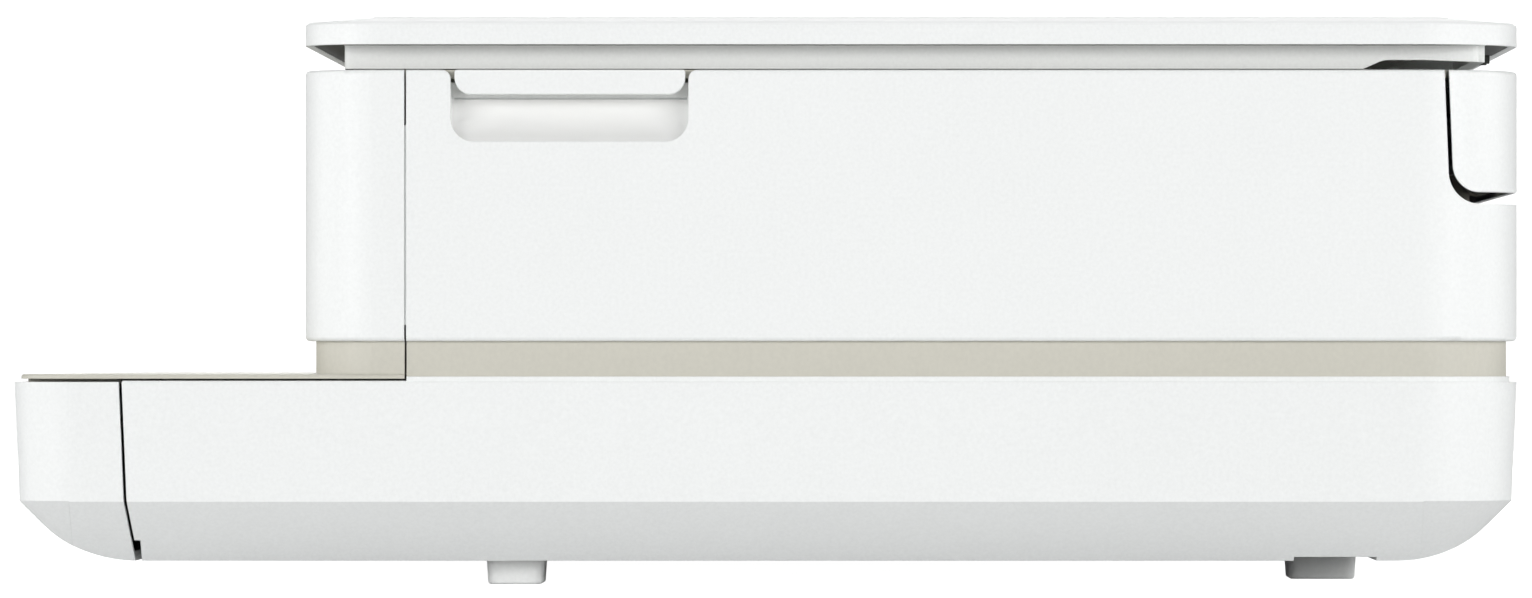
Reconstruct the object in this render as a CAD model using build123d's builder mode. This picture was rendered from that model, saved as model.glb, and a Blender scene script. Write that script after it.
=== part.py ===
"""Inkjet printer with a flatbed scanner, made of separate pieces.

Millimetres, +Z up, front towards -Y. The origin is on the standing surface, under the centre of the base.
The sheet tray slides out at the front of the base. The scanner unit lifts on a hinge at the rear, to reach
the cartridges, and the lid lifts on the scanner unit.
"""

import os
from math import atan, cos, degrees, pi, radians, sin, sqrt

from build123d import *

# ---- driving dimensions -------------------------------------------------------------------------------
HALF_WIDTH = 216.5
BASE_FRONT = -191.2
REAR = 191.2
BODY_FRONT = -117.4
BODY_FRONT_RADIUS = 17.7
BASE_FRONT_RADIUS = 15.0
REAR_RADIUS = 25.0
WALL = 2.5
GAP = 0.5

BASE_BOTTOM = 6.2
BEVEL_TOP = 21.6
BASE_TOP = 53.1
BODY_BOTTOM = 62.0
BODY_TOP = 130.6
LID_BOTTOM = 131.0
RIM_BOTTOM = 137.0
RIM_TOP = 142.2
LID_TOP = 144.5

BASE_DRAFT = 1.3
BEVEL = 15.2
BILGE_RADIUS = 35.0
BAND_INSET = 2.7
BAND_WALL = 3.0
COVER_SEAM = -91.4

# The seam between the tray's front and the base leans back and bends under the bevel.
SEAM_TOP = -163.6
SEAM_MIDDLE = -162.4
SEAM_BOTTOM = -160.6
SEAM_GAP = 0.8

SHELF_BOTTOM = 52.5
SHELF_TOP = 53.7
FRONT_RIM_TOP = 52.0
MOUTH_HALF_WIDTH = 125.0
MOUTH_TOP = 80.0

DECK_BOTTOM = 54.0
DECK_TOP = 56.0

SCANNER_PIVOT = (183.5, 105.0)
LID_PIVOT = (185.0, 138.0)
FLOOR_CLEARANCE = 0.3

# ---- drive line ---------------------------------------------------------------------------------------
ROLLER_Z = 62.6
FEED_Y = 72.0
DISCHARGE_Y = -30.0
ROLLER_RADIUS = 6.0
SHAFT_RADIUS = 3.0
RUN_FIT = 0.06
ROD_Y = 68.0
ROD_Z = 85.0
ROD_RADIUS = 4.0
BELT_Z = 90.0
PULLEY_RADIUS = 6.5
MOTOR_X = -152.0
IDLER_X = 186.0
GUIDE_PITCH_RADIUS = 8.0
PICK_PIVOT = (96.0, 60.0)
PICK_ROLLER = (62.0, 24.0)
DRIVE_TEETH = 24
PINION_TEETH = 12
PINION_ANGLE = 60.0
DRIVE_X = (-176.0, -171.0)
TIMING_X = (-164.5, -159.5)
TIMING_RADIUS = 5.0
EXTENDER_HALF = 65.0


# ---- small shape helpers ------------------------------------------------------------------------------
def block(x0, x1, y0, y1, z0, z1, mode=Mode.ADD):
    """A box between two corners, in the current part."""
    with Locations(((x0 + x1) / 2, (y0 + y1) / 2, (z0 + z1) / 2)):
        Box(x1 - x0, y1 - y0, z1 - z0, mode=mode)


def rod_x(x0, x1, y, z, radius, mode=Mode.ADD):
    """A cylinder along X."""
    with Locations(Location((x0, y, z), (0, 90, 0))):
        Cylinder(radius, x1 - x0, align=(Align.CENTER, Align.CENTER, Align.MIN), mode=mode)


def rod_y(y0, y1, x, z, radius, mode=Mode.ADD):
    """A cylinder along Y."""
    with Locations(Location((x, y0, z), (-90, 0, 0))):
        Cylinder(radius, y1 - y0, align=(Align.CENTER, Align.CENTER, Align.MIN), mode=mode)


def rod_z(z0, z1, x, y, radius, mode=Mode.ADD):
    """A cylinder along Z."""
    with Locations((x, y, z0)):
        Cylinder(radius, z1 - z0, align=(Align.CENTER, Align.CENTER, Align.MIN), mode=mode)


def outline(front, inset, z):
    """The housing's rounded plan outline at height z, from front to the rear face, drawn in by inset."""
    front_radius = BASE_FRONT_RADIUS if front == BASE_FRONT else BODY_FRONT_RADIUS
    with BuildSketch(Plane.XY.offset(z)) as face:
        with Locations((0, (front + REAR) / 2)):
            Rectangle(2 * (HALF_WIDTH - inset), REAR - front - 2 * inset)
        fillet(face.vertices().group_by(Axis.Y)[0], front_radius - inset)
        fillet(face.vertices().group_by(Axis.Y)[-1], REAR_RADIUS - inset)
    return face.sketch


def slab(front, inset, z0, z1, mode=Mode.ADD, taper=0.0):
    """A plate with the housing's plan outline between two heights."""
    extrude(outline(front, inset, z0), amount=z1 - z0, taper=taper, mode=mode)


def side_prism(points, half_length, mode=Mode.ADD, rounded=None, radius=1.0):
    """A prism along X from a side profile of (y, z) points, with one corner rounded where asked."""
    with BuildSketch(Plane.YZ) as profile:
        Polygon(*points, align=None)
        if rounded is not None:
            fillet(profile.vertices().sort_by_distance((*rounded, 0))[0], radius)
    extrude(profile.sketch, amount=half_length, both=True, mode=mode)


def base_form(inset):
    """The solid inside the base's outer faces: flat bevels at the sides, curved bilges at front and rear."""
    bottom = BASE_BOTTOM + inset
    side = HALF_WIDTH - BASE_DRAFT - inset - BEVEL + (2 - sqrt(2)) * inset
    arc_radius = BILGE_RADIUS - inset
    arc_z = BASE_BOTTOM + BILGE_RADIUS
    arc_y = REAR - BASE_DRAFT - BEVEL - BILGE_RADIUS * (sqrt(2) - 1)
    reach = arc_radius / sqrt(2)
    with BuildPart() as form:
        slab(BASE_FRONT, inset + BASE_DRAFT, bottom, BEVEL_TOP)
        slab(BASE_FRONT, inset + BASE_DRAFT, BEVEL_TOP, BASE_TOP, taper=-degrees(atan(BASE_DRAFT / (BASE_TOP - BEVEL_TOP))))
        with BuildSketch(Plane.XZ) as bevels:
            Polygon((-side, bottom), (side, bottom), (side + 60, bottom + 60), (-side - 60, bottom + 60), align=None)
        extrude(bevels.sketch, amount=300, both=True, mode=Mode.INTERSECT)
        with BuildSketch(Plane.YZ) as bilges:
            with BuildLine():
                CenterArc((-arc_y, arc_z), arc_radius, 225, 45)
                Line((-arc_y, bottom), (arc_y, bottom))
                CenterArc((arc_y, arc_z), arc_radius, 270, 45)
                Polyline(
                    (arc_y + reach, arc_z - reach),
                    (arc_y + 60, arc_z + 60 - 2 * reach),
                    (-arc_y - 60, arc_z + 60 - 2 * reach),
                    (-arc_y - reach, arc_z - reach),
                )
            make_face()
        extrude(bilges.sketch, amount=300, both=True, mode=Mode.INTERSECT)
        for corner_y, radius in ((BASE_FRONT + BASE_FRONT_RADIUS, BASE_FRONT_RADIUS), (REAR - REAR_RADIUS, REAR_RADIUS)):
            for side in (-1, 1):
                add(corner_waste(side, corner_y, radius, inset), mode=Mode.SUBTRACT)
    return form.part


def corner_waste(side, corner_y, radius, inset):
    """What a conical bevel takes off the base's lower edge at one rounded corner."""
    top_z = BEVEL_TOP + inset * (sqrt(2) - 1)
    top_radius = radius - BASE_DRAFT - inset
    height = min(top_radius - 0.05, top_z - BASE_BOTTOM)
    x = side * (HALF_WIDTH - radius)
    outward = -1 if corner_y < 0 else 1
    x0, x1 = sorted((x, x + side * (radius + 5)))
    y0, y1 = sorted((corner_y, corner_y + outward * (radius + 5)))
    with BuildPart() as waste:
        block(x0, x1, y0, y1, 0, top_z)
        with Locations((x, corner_y, top_z - height)):
            Cone(top_radius - height, top_radius, height, align=(Align.CENTER, Align.CENTER, Align.MIN), mode=Mode.SUBTRACT)
    return waste.part


def seam_prism(shift):
    """Everything in front of the seam between the tray's front and the base."""
    with BuildPart() as front:
        side_prism(
            [
                (-250, -10),
                (SEAM_BOTTOM + shift, -10),
                (SEAM_BOTTOM + shift, BASE_BOTTOM),
                (SEAM_MIDDLE + shift, BEVEL_TOP),
                (SEAM_TOP + shift, BASE_TOP),
                (SEAM_TOP + shift, 80),
                (-250, 80),
            ],
            HALF_WIDTH + 20,
            rounded=(SEAM_MIDDLE + shift, BEVEL_TOP),
            radius=35.0,
        )
    return front.part


def finger_pocket():
    """The space cut for the fingers under the lift tab, on the right side."""
    front, rear, bottom, crease, depth = -79.7, -19.6, 112.4, 123.3, 9.5
    flare = 2.4
    with BuildPart() as pocket:
        with BuildSketch(Plane.YZ.offset(HALF_WIDTH - 20)) as opening:
            with Locations(((front + rear) / 2, (bottom + BODY_TOP + 9) / 2)):
                Rectangle(rear - front, BODY_TOP + 9 - bottom)
            fillet(opening.vertices().group_by(Axis.Y)[0], 6.0)
            with Locations(((front + rear) / 2, BODY_TOP - flare)):
                Rectangle(rear - front + 2 * flare, flare + 5, align=(Align.CENTER, Align.MIN))
            with Locations((front - flare, BODY_TOP - flare), (rear + flare, BODY_TOP - flare)):
                Circle(flare, mode=Mode.SUBTRACT)
        extrude(amount=24)
        with BuildSketch(Plane.XZ.offset(-10)) as scoop:
            with BuildLine():
                Polyline(
                    (HALF_WIDTH - depth, crease),
                    (HALF_WIDTH - depth, BODY_TOP + 12),
                    (HALF_WIDTH + 6, BODY_TOP + 12),
                    (HALF_WIDTH + 6, bottom - 0.1),
                    (HALF_WIDTH, bottom),
                )
                RadiusArc((HALF_WIDTH, bottom), (HALF_WIDTH - depth, crease), 16)
            make_face()
        extrude(amount=120, mode=Mode.INTERSECT)
        x = HALF_WIDTH - depth
        block(x - 0.8, x + 0.1, front + 0.6, rear - 0.6, crease, crease + 0.4)
    return pocket.part


# ---- base and sheet tray ------------------------------------------------------------------------------
outer_base = base_form(0.0)
inner_base = base_form(WALL)
BOSSES = [(-150.0, -40.0), (150.0, -40.0), (-150.0, 95.0), (150.0, 95.0)]
TRAY_HALF = 118.0
TRAY_RAIL = 121.5

with BuildPart() as base_shell:
    add(outer_base)
    add(inner_base, mode=Mode.SUBTRACT)
    slab(BASE_FRONT, WALL - 0.6, BASE_TOP - 3, BASE_TOP)
    slab(BASE_FRONT, WALL + 3.5, BASE_TOP - 3, BASE_TOP, mode=Mode.SUBTRACT)
    add(seam_prism(SEAM_GAP), mode=Mode.SUBTRACT)
    block(-250, 250, -170, SEAM_BOTTOM + SEAM_GAP + 0.9, 5, 11.5, mode=Mode.SUBTRACT)
    block(-250, 250, -250, COVER_SEAM + GAP, FRONT_RIM_TOP, 70, mode=Mode.SUBTRACT)
    for side in (-1, 1):
        rail = side * TRAY_RAIL
        block(min(rail, rail + side * 2), max(rail, rail + side * 2), -157, 124, BASE_BOTTOM + 2, 34)
    for x, y in BOSSES:
        rod_z(BASE_BOTTOM + 2, 12, x, y, 7.5)
    for x, y in BOSSES:
        rod_z(0, 20, x, y, 2.1, mode=Mode.SUBTRACT)
        rod_z(0, 8.6, x, y, 4.0, mode=Mode.SUBTRACT)
    with Locations(*[(x, 20, BASE_BOTTOM + 1) for x in range(-180, 181, 10) if abs(x) > 155]):
        Box(4, 60, 8, mode=Mode.SUBTRACT)
    for x0, x1 in ((-215, -150), (150, 215)):
        block(x0, x1, 134, 155, 5, BASE_BOTTOM + 1, mode=Mode.SUBTRACT)

with BuildPart() as tray_front:
    add(outer_base)
    add(inner_base, mode=Mode.SUBTRACT)
    add(seam_prism(0.0), mode=Mode.INTERSECT)
    block(-250, 250, -250, 0, FRONT_RIM_TOP, 70, mode=Mode.SUBTRACT)
    for x in (-112, -40, 36, 108):
        block(x, x + 4, BASE_FRONT + 3, -176, 20, 40)
    side_prism([(-175.9, 10.6), (-175.9, 4), (-161.0, 4), (-161.0, 10.6)], TRAY_HALF)
    block(-15.4, 15.4, -175, -150, 9.0, 12, mode=Mode.SUBTRACT)
    add(outer_base, mode=Mode.INTERSECT)

with BuildPart() as tray_pan:
    block(-TRAY_HALF, TRAY_HALF, -176, 124, 10.6, 12.6)
    for side in (-1, 1):
        inner, outer = side * (TRAY_HALF - 2), side * TRAY_HALF
        block(min(inner, outer), max(inner, outer), -176, 124, 12.6, 36)
        ledge = side * (TRAY_RAIL + 2)
        block(min(outer, ledge), max(outer, ledge), -156, 124, 34.4, 36)
    block(-TRAY_HALF, TRAY_HALF, -176, -174, 12.6, 40)
    channel_front = -58.0
    block(-116, 116, channel_front, channel_front + 36, 9.2, 10.8)
    block(-114, 114, channel_front + 2, channel_front + 34, 10.8, 13, mode=Mode.SUBTRACT)
    block(-15, 15, -172, channel_front - 1, 9.2, 10.8)
    block(-12, 12, -171, channel_front - 2.4, 10.8, 13, mode=Mode.SUBTRACT)
    rod_z(10, 13.2, 0, channel_front + 18, 2.0)
    add(inner_base, mode=Mode.INTERSECT)

GUIDE_Y = channel_front + 18
PAPER_HALF = 108.2
RACK_TOP = 12.5
TEETH = 16


def rack_teeth(first_x, count, root_y, direction):
    """Teeth of a rack along X, standing from root_y in the given Y direction."""
    for index in range(count):
        x = first_x + index * pi
        with BuildSketch(Plane.XY.offset(10.9)) as tooth:
            Polygon(
                (x - 0.95, root_y - 0.2 * direction),
                (x + 0.95, root_y - 0.2 * direction),
                (x + 0.30, root_y + 1.85 * direction),
                (x - 0.30, root_y + 1.85 * direction),
                align=None,
            )
        extrude(tooth.sketch, amount=RACK_TOP - 10.9)


def width_guide(side):
    """An edge guide on the side given by its sign, with its flat rack across the middle."""
    rack_root = GUIDE_Y + side * (GUIDE_PITCH_RADIUS + 1.0)
    rack_y = sorted((rack_root, GUIDE_Y + side * (GUIDE_PITCH_RADIUS + 5.5)))
    wall_x = sorted((side * PAPER_HALF, side * (PAPER_HALF + 2.5)))
    rack_x = sorted((-side * 10.0, side * (PAPER_HALF + 2.5)))
    with BuildPart() as guide:
        block(*wall_x, GUIDE_Y - 60, GUIDE_Y + 50, 12.9, 34)
        block(*wall_x, *rack_y, 10.9, 13)
        block(*rack_x, *rack_y, 10.9, RACK_TOP)
        first = pi / 2 - 3 * pi if side > 0 else pi / 2 - 25 * pi
        rack_teeth(first, 28, rack_root, -side)
    return guide


width_guide_left = width_guide(-1)
width_guide_right = width_guide(1)

with BuildPart() as guide_pinion:
    with BuildSketch(Plane.XY.offset(10.9)):
        with Locations((0, GUIDE_Y)):
            Circle(GUIDE_PITCH_RADIUS - 1.1)
        for tooth in range(TEETH):
            angle = 360 * tooth / TEETH + 90
            with Locations(Location((0, GUIDE_Y), angle)):
                Polygon((6.6, -0.75), (8.85, -0.28), (8.85, 0.28), (6.6, 0.75), align=None)
    extrude(amount=RACK_TOP - 10.9)
    rod_z(RACK_TOP, 13.4, 0, GUIDE_Y, 4.5)
    rod_z(10, 14, 0, GUIDE_Y, 2.0 + RUN_FIT, mode=Mode.SUBTRACT)

with BuildPart() as length_guide:
    block(-11.7, 11.7, -170.7, -150, 10.9, 12.5)
    block(-20, 20, -172.5, -170, 12.9, 34)
    block(-11.7, 11.7, -170.7, -170, 12.5, 13)
    for x in (-12, 8):
        block(x, x + 4, -170, -162, 12.9, 24)

# ---- mid frame and output shelf -----------------------------------------------------------------------
CHASSIS_RIGHT_X = 199.0
with BuildPart() as mid_frame:
    slab(BODY_FRONT, BAND_INSET, BASE_TOP, BODY_BOTTOM)
    slab(BODY_FRONT, BAND_INSET + BAND_WALL, BASE_TOP - 1, BODY_BOTTOM + 1, mode=Mode.SUBTRACT)
    slab(BODY_FRONT, BAND_INSET + 1, DECK_BOTTOM, DECK_TOP)
    block(-250, 250, -250, COVER_SEAM + GAP, 40, 80, mode=Mode.SUBTRACT)
    block(-115, 115, 112, 180, 50, 60, mode=Mode.SUBTRACT)
    block(-24, 24, 40, 112.5, 50, 60, mode=Mode.SUBTRACT)
    block(-178, -169.5, 57, 87, 50, 60, mode=Mode.SUBTRACT)
    for side in (-1, 1):
        x0, x1 = sorted((side * 150.3, side * 159.7))
        block(x0, x1, 171.5, 181, DECK_TOP - 1, SCANNER_PIVOT[1])
        block(x0, x1, 160, 172, DECK_TOP - 1, 72)
        rod_x(x0, x1, *SCANNER_PIVOT, 5.2)
    rod_x(-170, 170, *SCANNER_PIVOT, 2.5 + RUN_FIT, mode=Mode.SUBTRACT)
    for x0, x1 in ((-29, -24.5), (24.5, 29)):
        block(x0, x1, 90, 102, DECK_TOP - 1, 65)
    rod_x(-30, 30, *PICK_PIVOT, 2.5 + RUN_FIT, mode=Mode.SUBTRACT)
    for x, y in BOSSES:
        rod_z(12, DECK_BOTTOM + 1, x, y, 5.0)
        rod_z(11, 40, x, y, 2.0, mode=Mode.SUBTRACT)

with BuildPart() as output_shelf:
    slab(BASE_FRONT, 1.8, SHELF_BOTTOM, SHELF_TOP)
    fillet(output_shelf.faces().sort_by(Axis.Z)[-1].edges(), 0.8)
    block(-EXTENDER_HALF - 6, EXTENDER_HALF + 6, -188.2, COVER_SEAM, 50.6, SHELF_TOP)
    block(-196, 196, -188.2, -164.5, 51.2, SHELF_BOTTOM)
    slab(BODY_FRONT, BAND_INSET, SHELF_TOP - 0.5, BODY_BOTTOM)
    slab(BODY_FRONT, BAND_INSET + BAND_WALL, SHELF_TOP, BODY_BOTTOM + 1, mode=Mode.SUBTRACT)
    block(-MOUTH_HALF_WIDTH, MOUTH_HALF_WIDTH, -130, -90, SHELF_TOP, 80, mode=Mode.SUBTRACT)
    block(-250, 250, COVER_SEAM, 250, 40, 80, mode=Mode.SUBTRACT)
    block(-EXTENDER_HALF - 0.3, EXTENDER_HALF + 0.3, -192, -100, SHELF_BOTTOM, 60, mode=Mode.SUBTRACT)

with BuildPart() as output_extender:
    block(-EXTENDER_HALF, EXTENDER_HALF, -189.2, -100.3, SHELF_BOTTOM + 0.1, SHELF_TOP)
    fillet(output_extender.edges().filter_by(Axis.Z).group_by(Axis.Y)[0], 12)
    block(-25.3, 25.3, -185.8, -157.6, SHELF_BOTTOM, SHELF_TOP + 1, mode=Mode.SUBTRACT)
    block(-12, 12, -152, -146, SHELF_TOP - 0.6, SHELF_TOP + 1, mode=Mode.SUBTRACT)

with BuildPart() as output_stop:
    block(-25, 25, -184.8, -158, SHELF_BOTTOM + 0.1, SHELF_TOP - 0.05)
    fillet(output_stop.edges().filter_by(Axis.Z).group_by(Axis.Y)[-1], 8)
    rod_x(-25, 25, -184.8, SHELF_TOP - 0.6, 0.5)

# ---- upper housing ------------------------------------------------------------------------------------
pocket_right = finger_pocket()
pocket_left = mirror(pocket_right, Plane.YZ)
POWER_X = 178.0
POWER_Z = 72.0
USB_X = -172.0
USB_Z = 68.3

with BuildPart() as upper_shell:
    slab(BODY_FRONT, 0, BODY_BOTTOM, BODY_TOP)
    fillet(upper_shell.faces().sort_by(Axis.Z)[0].edges(), 1.2)
    fillet(upper_shell.faces().sort_by(Axis.Z)[-1].edges(), 1.0)
    slab(BODY_FRONT, WALL + 3.5, BODY_BOTTOM - 1, BODY_BOTTOM + 2.5, mode=Mode.SUBTRACT)
    slab(BODY_FRONT, WALL, BODY_BOTTOM + 2, BODY_TOP + 1, mode=Mode.SUBTRACT)
    for side in (-1, 1):
        x0, x1 = sorted((side * (HALF_WIDTH - 13), side * (HALF_WIDTH - WALL + 0.3)))
        block(x0, x1, -84, -15, 108.5, 127.6)
    add(pocket_right, mode=Mode.SUBTRACT)
    add(pocket_left, mode=Mode.SUBTRACT)
    side_prism(
        [(171.0, 140), (172.8, 96.8), (200, 96.8), (200, 140)],
        HALF_WIDTH + 5,
        mode=Mode.SUBTRACT,
        rounded=(172.8, 96.8),
        radius=8.0,
    )
    side_prism([(188.2, 95.2), (188.2, 98), (190.1, 98), (190.1, 96.8)], HALF_WIDTH - REAR_RADIUS, mode=Mode.SUBTRACT)
    block(-250, 250, -250, COVER_SEAM + GAP, 50, 140, mode=Mode.SUBTRACT)
    block(POWER_X - 13, POWER_X + 13, 180, 200, POWER_Z - 9, POWER_Z + 9, mode=Mode.SUBTRACT)
    block(USB_X - 7, USB_X + 7, 180, 200, USB_Z - 6.5, USB_Z + 6.5, mode=Mode.SUBTRACT)
    with Locations(*[(8 * i - 44, 190, 72 + 4.5 * j) for i in range(12) for j in range(5)]):
        Box(5.5, 12, 1.6, mode=Mode.SUBTRACT)

PANEL_X = (-172.0, -52.0)
PANEL_Z = (90.0, 122.0)
BUTTONS = {"power_button": -98.0, "wireless_button": -82.0, "copy_button": -66.0}
BUTTON_Z = 106.0

with BuildPart() as front_cover:
    slab(BODY_FRONT, 0, BODY_BOTTOM, BODY_TOP)
    fillet(front_cover.faces().sort_by(Axis.Z)[0].edges(), 1.2)
    fillet(front_cover.faces().sort_by(Axis.Z)[-1].edges(), 1.0)
    slab(BODY_FRONT, WALL + 3.5, BODY_BOTTOM - 1, BODY_BOTTOM + 2.5, mode=Mode.SUBTRACT)
    slab(BODY_FRONT, WALL, BODY_BOTTOM + 2, BODY_TOP + 1, mode=Mode.SUBTRACT)
    block(-250, 250, COVER_SEAM, 250, 50, 140, mode=Mode.SUBTRACT)
    with BuildSketch(Plane.XZ.offset(130)) as mouth:
        with Locations((0, (BODY_BOTTOM - 20 + MOUTH_TOP) / 2)):
            Rectangle(2 * MOUTH_HALF_WIDTH, MOUTH_TOP - BODY_BOTTOM + 20)
        fillet(mouth.vertices().group_by(Axis.Y)[-1], 7)
    extrude(amount=-60, mode=Mode.SUBTRACT)
    block(*PANEL_X, -130, -100, *PANEL_Z, mode=Mode.SUBTRACT)
    for side in (-1, 1):
        x0, x1 = sorted((side * (HALF_WIDTH - WALL), side * (HALF_WIDTH - 0.7)))
        block(x0, x1, COVER_SEAM - 1, COVER_SEAM + GAP, 66.0, 116.6)

with BuildPart() as panel_bezel:
    block(PANEL_X[0] + 0.15, PANEL_X[1] - 0.15, BODY_FRONT, -113.5, PANEL_Z[0] + 0.15, PANEL_Z[1] - 0.15)
    fillet(panel_bezel.faces().sort_by(Axis.Y)[0].edges(), 0.5)
    block(PANEL_X[0] - 3, PANEL_X[1] + 3, -114.85, -113.5, PANEL_Z[0] - 3, PANEL_Z[1] + 3)
    block(-166.1, -111.9, -130, -116.0, 92.9, 119.1, mode=Mode.SUBTRACT)
    for x in BUTTONS.values():
        rod_y(-130, -100, x, BUTTON_Z, 4.7, mode=Mode.SUBTRACT)

with BuildPart() as display_glass:
    block(-166, -112, BODY_FRONT - 0.1, -116.0, 93, 119)
    fillet(display_glass.edges().filter_by(Axis.Y), 1.5)


def panel_button(x):
    """A round push button with a flange that keeps it behind the panel."""
    with BuildPart() as button:
        rod_y(BODY_FRONT - 0.4, -113.3, x, BUTTON_Z, 4.5)
        fillet(button.faces().sort_by(Axis.Y)[0].edges(), 0.6)
        rod_y(-113.35, -112.3, x, BUTTON_Z, 5.6)
    return button


buttons = {name: panel_button(x) for name, x in BUTTONS.items()}

with BuildPart() as control_board:
    block(-173, -51, -109.6, -108.0, 91, 121)
    for x in BUTTONS.values():
        block(x - 3, x + 3, -111.4, -109.5, BUTTON_Z - 3, BUTTON_Z + 3)
    block(-160, -118, -112.2, -109.5, 96, 116)

# ---- rear electrics -----------------------------------------------------------------------------------
with BuildPart() as power_inlet:
    block(POWER_X - 12.8, POWER_X + 12.8, 179, REAR - 0.3, POWER_Z - 8.8, POWER_Z + 8.8)
    with BuildSketch(Plane.XZ.offset(-200)):
        with Locations((POWER_X, POWER_Z)):
            SlotOverall(16.5, 8.6)
    extrude(amount=17.5, mode=Mode.SUBTRACT)
    for dx in (-3.6, 3.6):
        rod_y(182.4, 190, POWER_X + dx, POWER_Z, 1.2)

with BuildPart() as usb_port:
    block(USB_X - 6.6, USB_X + 6.6, 176, REAR - 0.5, USB_Z - 6.1, USB_Z + 6.1)
    block(USB_X - 5.8, USB_X + 5.8, 178, 200, USB_Z - 5.3, USB_Z + 5.3, mode=Mode.SUBTRACT)
    block(USB_X - 2.9, USB_X + 2.9, 177.5, 190, USB_Z - 1.8, USB_Z + 1.8)

with BuildPart() as main_board:
    block(-203, -162, 100, 175.6, 59.6, 61.2)
    for x, y, dx, dy, h in (
        (-196, 112, 12, 12, 2),
        (-180, 132, 14, 14, 2.5),
        (-197, 150, 9, 16, 3),
        (-182, 160, 6, 8, 6),
        (-178, 108, 8, 5, 7),
    ):
        block(x, x + dx, y - dy / 2, y + dy / 2, 61.1, 61.2 + h)
    for x, y in ((-200, 104), (-200, 171), (-173, 104)):
        rod_z(DECK_TOP, 60, x, y, 2.5)

with BuildPart() as power_supply:
    block(163, 206, 104, 178.6, DECK_TOP, 92)
    fillet(power_supply.edges().filter_by(Axis.Z), 2)
    with Locations(*[(184.5, 112 + 6 * i, 93) for i in range(10)]):
        Box(30, 2.5, 6, mode=Mode.SUBTRACT)


# ---- print engine -------------------------------------------------------------------------------------
LEFT_PLATE = (-168.5, -166.0)
PINION_Y = FEED_Y + (DRIVE_TEETH + PINION_TEETH) / 2 * cos(radians(PINION_ANGLE))
PINION_Z = ROLLER_Z + (DRIVE_TEETH + PINION_TEETH) / 2 * sin(radians(PINION_ANGLE))
with BuildPart() as chassis_left:
    block(*LEFT_PLATE, -42, 92, DECK_TOP, 104)
    block(LEFT_PLATE[0] - 10, LEFT_PLATE[1], -40, 45, DECK_TOP, 58)
    rod_x(-180, -150, FEED_Y, ROLLER_Z, SHAFT_RADIUS + RUN_FIT, mode=Mode.SUBTRACT)
    rod_x(-180, -150, DISCHARGE_Y, ROLLER_Z, SHAFT_RADIUS + RUN_FIT, mode=Mode.SUBTRACT)
    rod_x(-180, -150, PINION_Y, PINION_Z, 1.5 + RUN_FIT, mode=Mode.SUBTRACT)
    rod_x(-180, -150, ROD_Y, ROD_Z, ROD_RADIUS + 0.02, mode=Mode.SUBTRACT)

with BuildPart() as chassis_right:
    block(CHASSIS_RIGHT_X, CHASSIS_RIGHT_X + 2.5, 20, 92, DECK_TOP, 104)
    block(CHASSIS_RIGHT_X - 8, CHASSIS_RIGHT_X + 0.1, 30, 60, DECK_TOP, 58)
    rod_x(190, 210, ROD_Y, ROD_Z, ROD_RADIUS + 0.02, mode=Mode.SUBTRACT)

with BuildPart() as carriage_rod:
    rod_x(LEFT_PLATE[0], CHASSIS_RIGHT_X + 2.5, ROD_Y, ROD_Z, ROD_RADIUS)

with BuildPart() as carriage_beam:
    block(LEFT_PLATE[1], CHASSIS_RIGHT_X, 81.0, 82.5, 74, 104)
    block(LEFT_PLATE[1], CHASSIS_RIGHT_X, 81.0, 90, 102.5, 104)
    with Locations(*[(x, 82, 80) for x in range(-90, 180, 30)]):
        Box(16, 6, 5, mode=Mode.SUBTRACT)
    rod_y(70, 100, MOTOR_X, BELT_Z, 3.0, mode=Mode.SUBTRACT)
    rod_y(70, 100, IDLER_X, BELT_Z, 2.0 + RUN_FIT, mode=Mode.SUBTRACT)

with BuildPart() as carriage_motor:
    rod_y(82.6, 100, MOTOR_X, BELT_Z, 11)
    fillet(carriage_motor.faces().sort_by(Axis.Y)[-1].edges(), 1)
    rod_y(81.2, 83, MOTOR_X, BELT_Z, 2.9)


def belt_pulley(x):
    """A flanged pulley for the carriage belt."""
    with BuildPart() as pulley:
        rod_y(73.6, 74.4, x, BELT_Z, PULLEY_RADIUS + 1.5)
        rod_y(74.3, 80.0, x, BELT_Z, PULLEY_RADIUS - 0.3)
        rod_y(79.7, 80.5, x, BELT_Z, PULLEY_RADIUS + 1.5)
    return pulley.part


with BuildPart() as carriage_pulley:
    add(belt_pulley(MOTOR_X))
    rod_y(73.1, 73.7, MOTOR_X, BELT_Z, 2.5)

with BuildPart() as idler_pulley:
    add(belt_pulley(IDLER_X))
    rod_y(80.4, 84, IDLER_X, BELT_Z, 2.0)

with BuildPart() as carriage_belt:
    with BuildSketch(Plane.XZ.offset(-75)):
        with Locations(((MOTOR_X + IDLER_X) / 2, BELT_Z)):
            SlotCenterToCenter(IDLER_X - MOTOR_X, 2 * PULLEY_RADIUS + 2.0)
            SlotCenterToCenter(IDLER_X - MOTOR_X, 2 * PULLEY_RADIUS + 0.2, mode=Mode.SUBTRACT)
    extrude(amount=-4)

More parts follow.
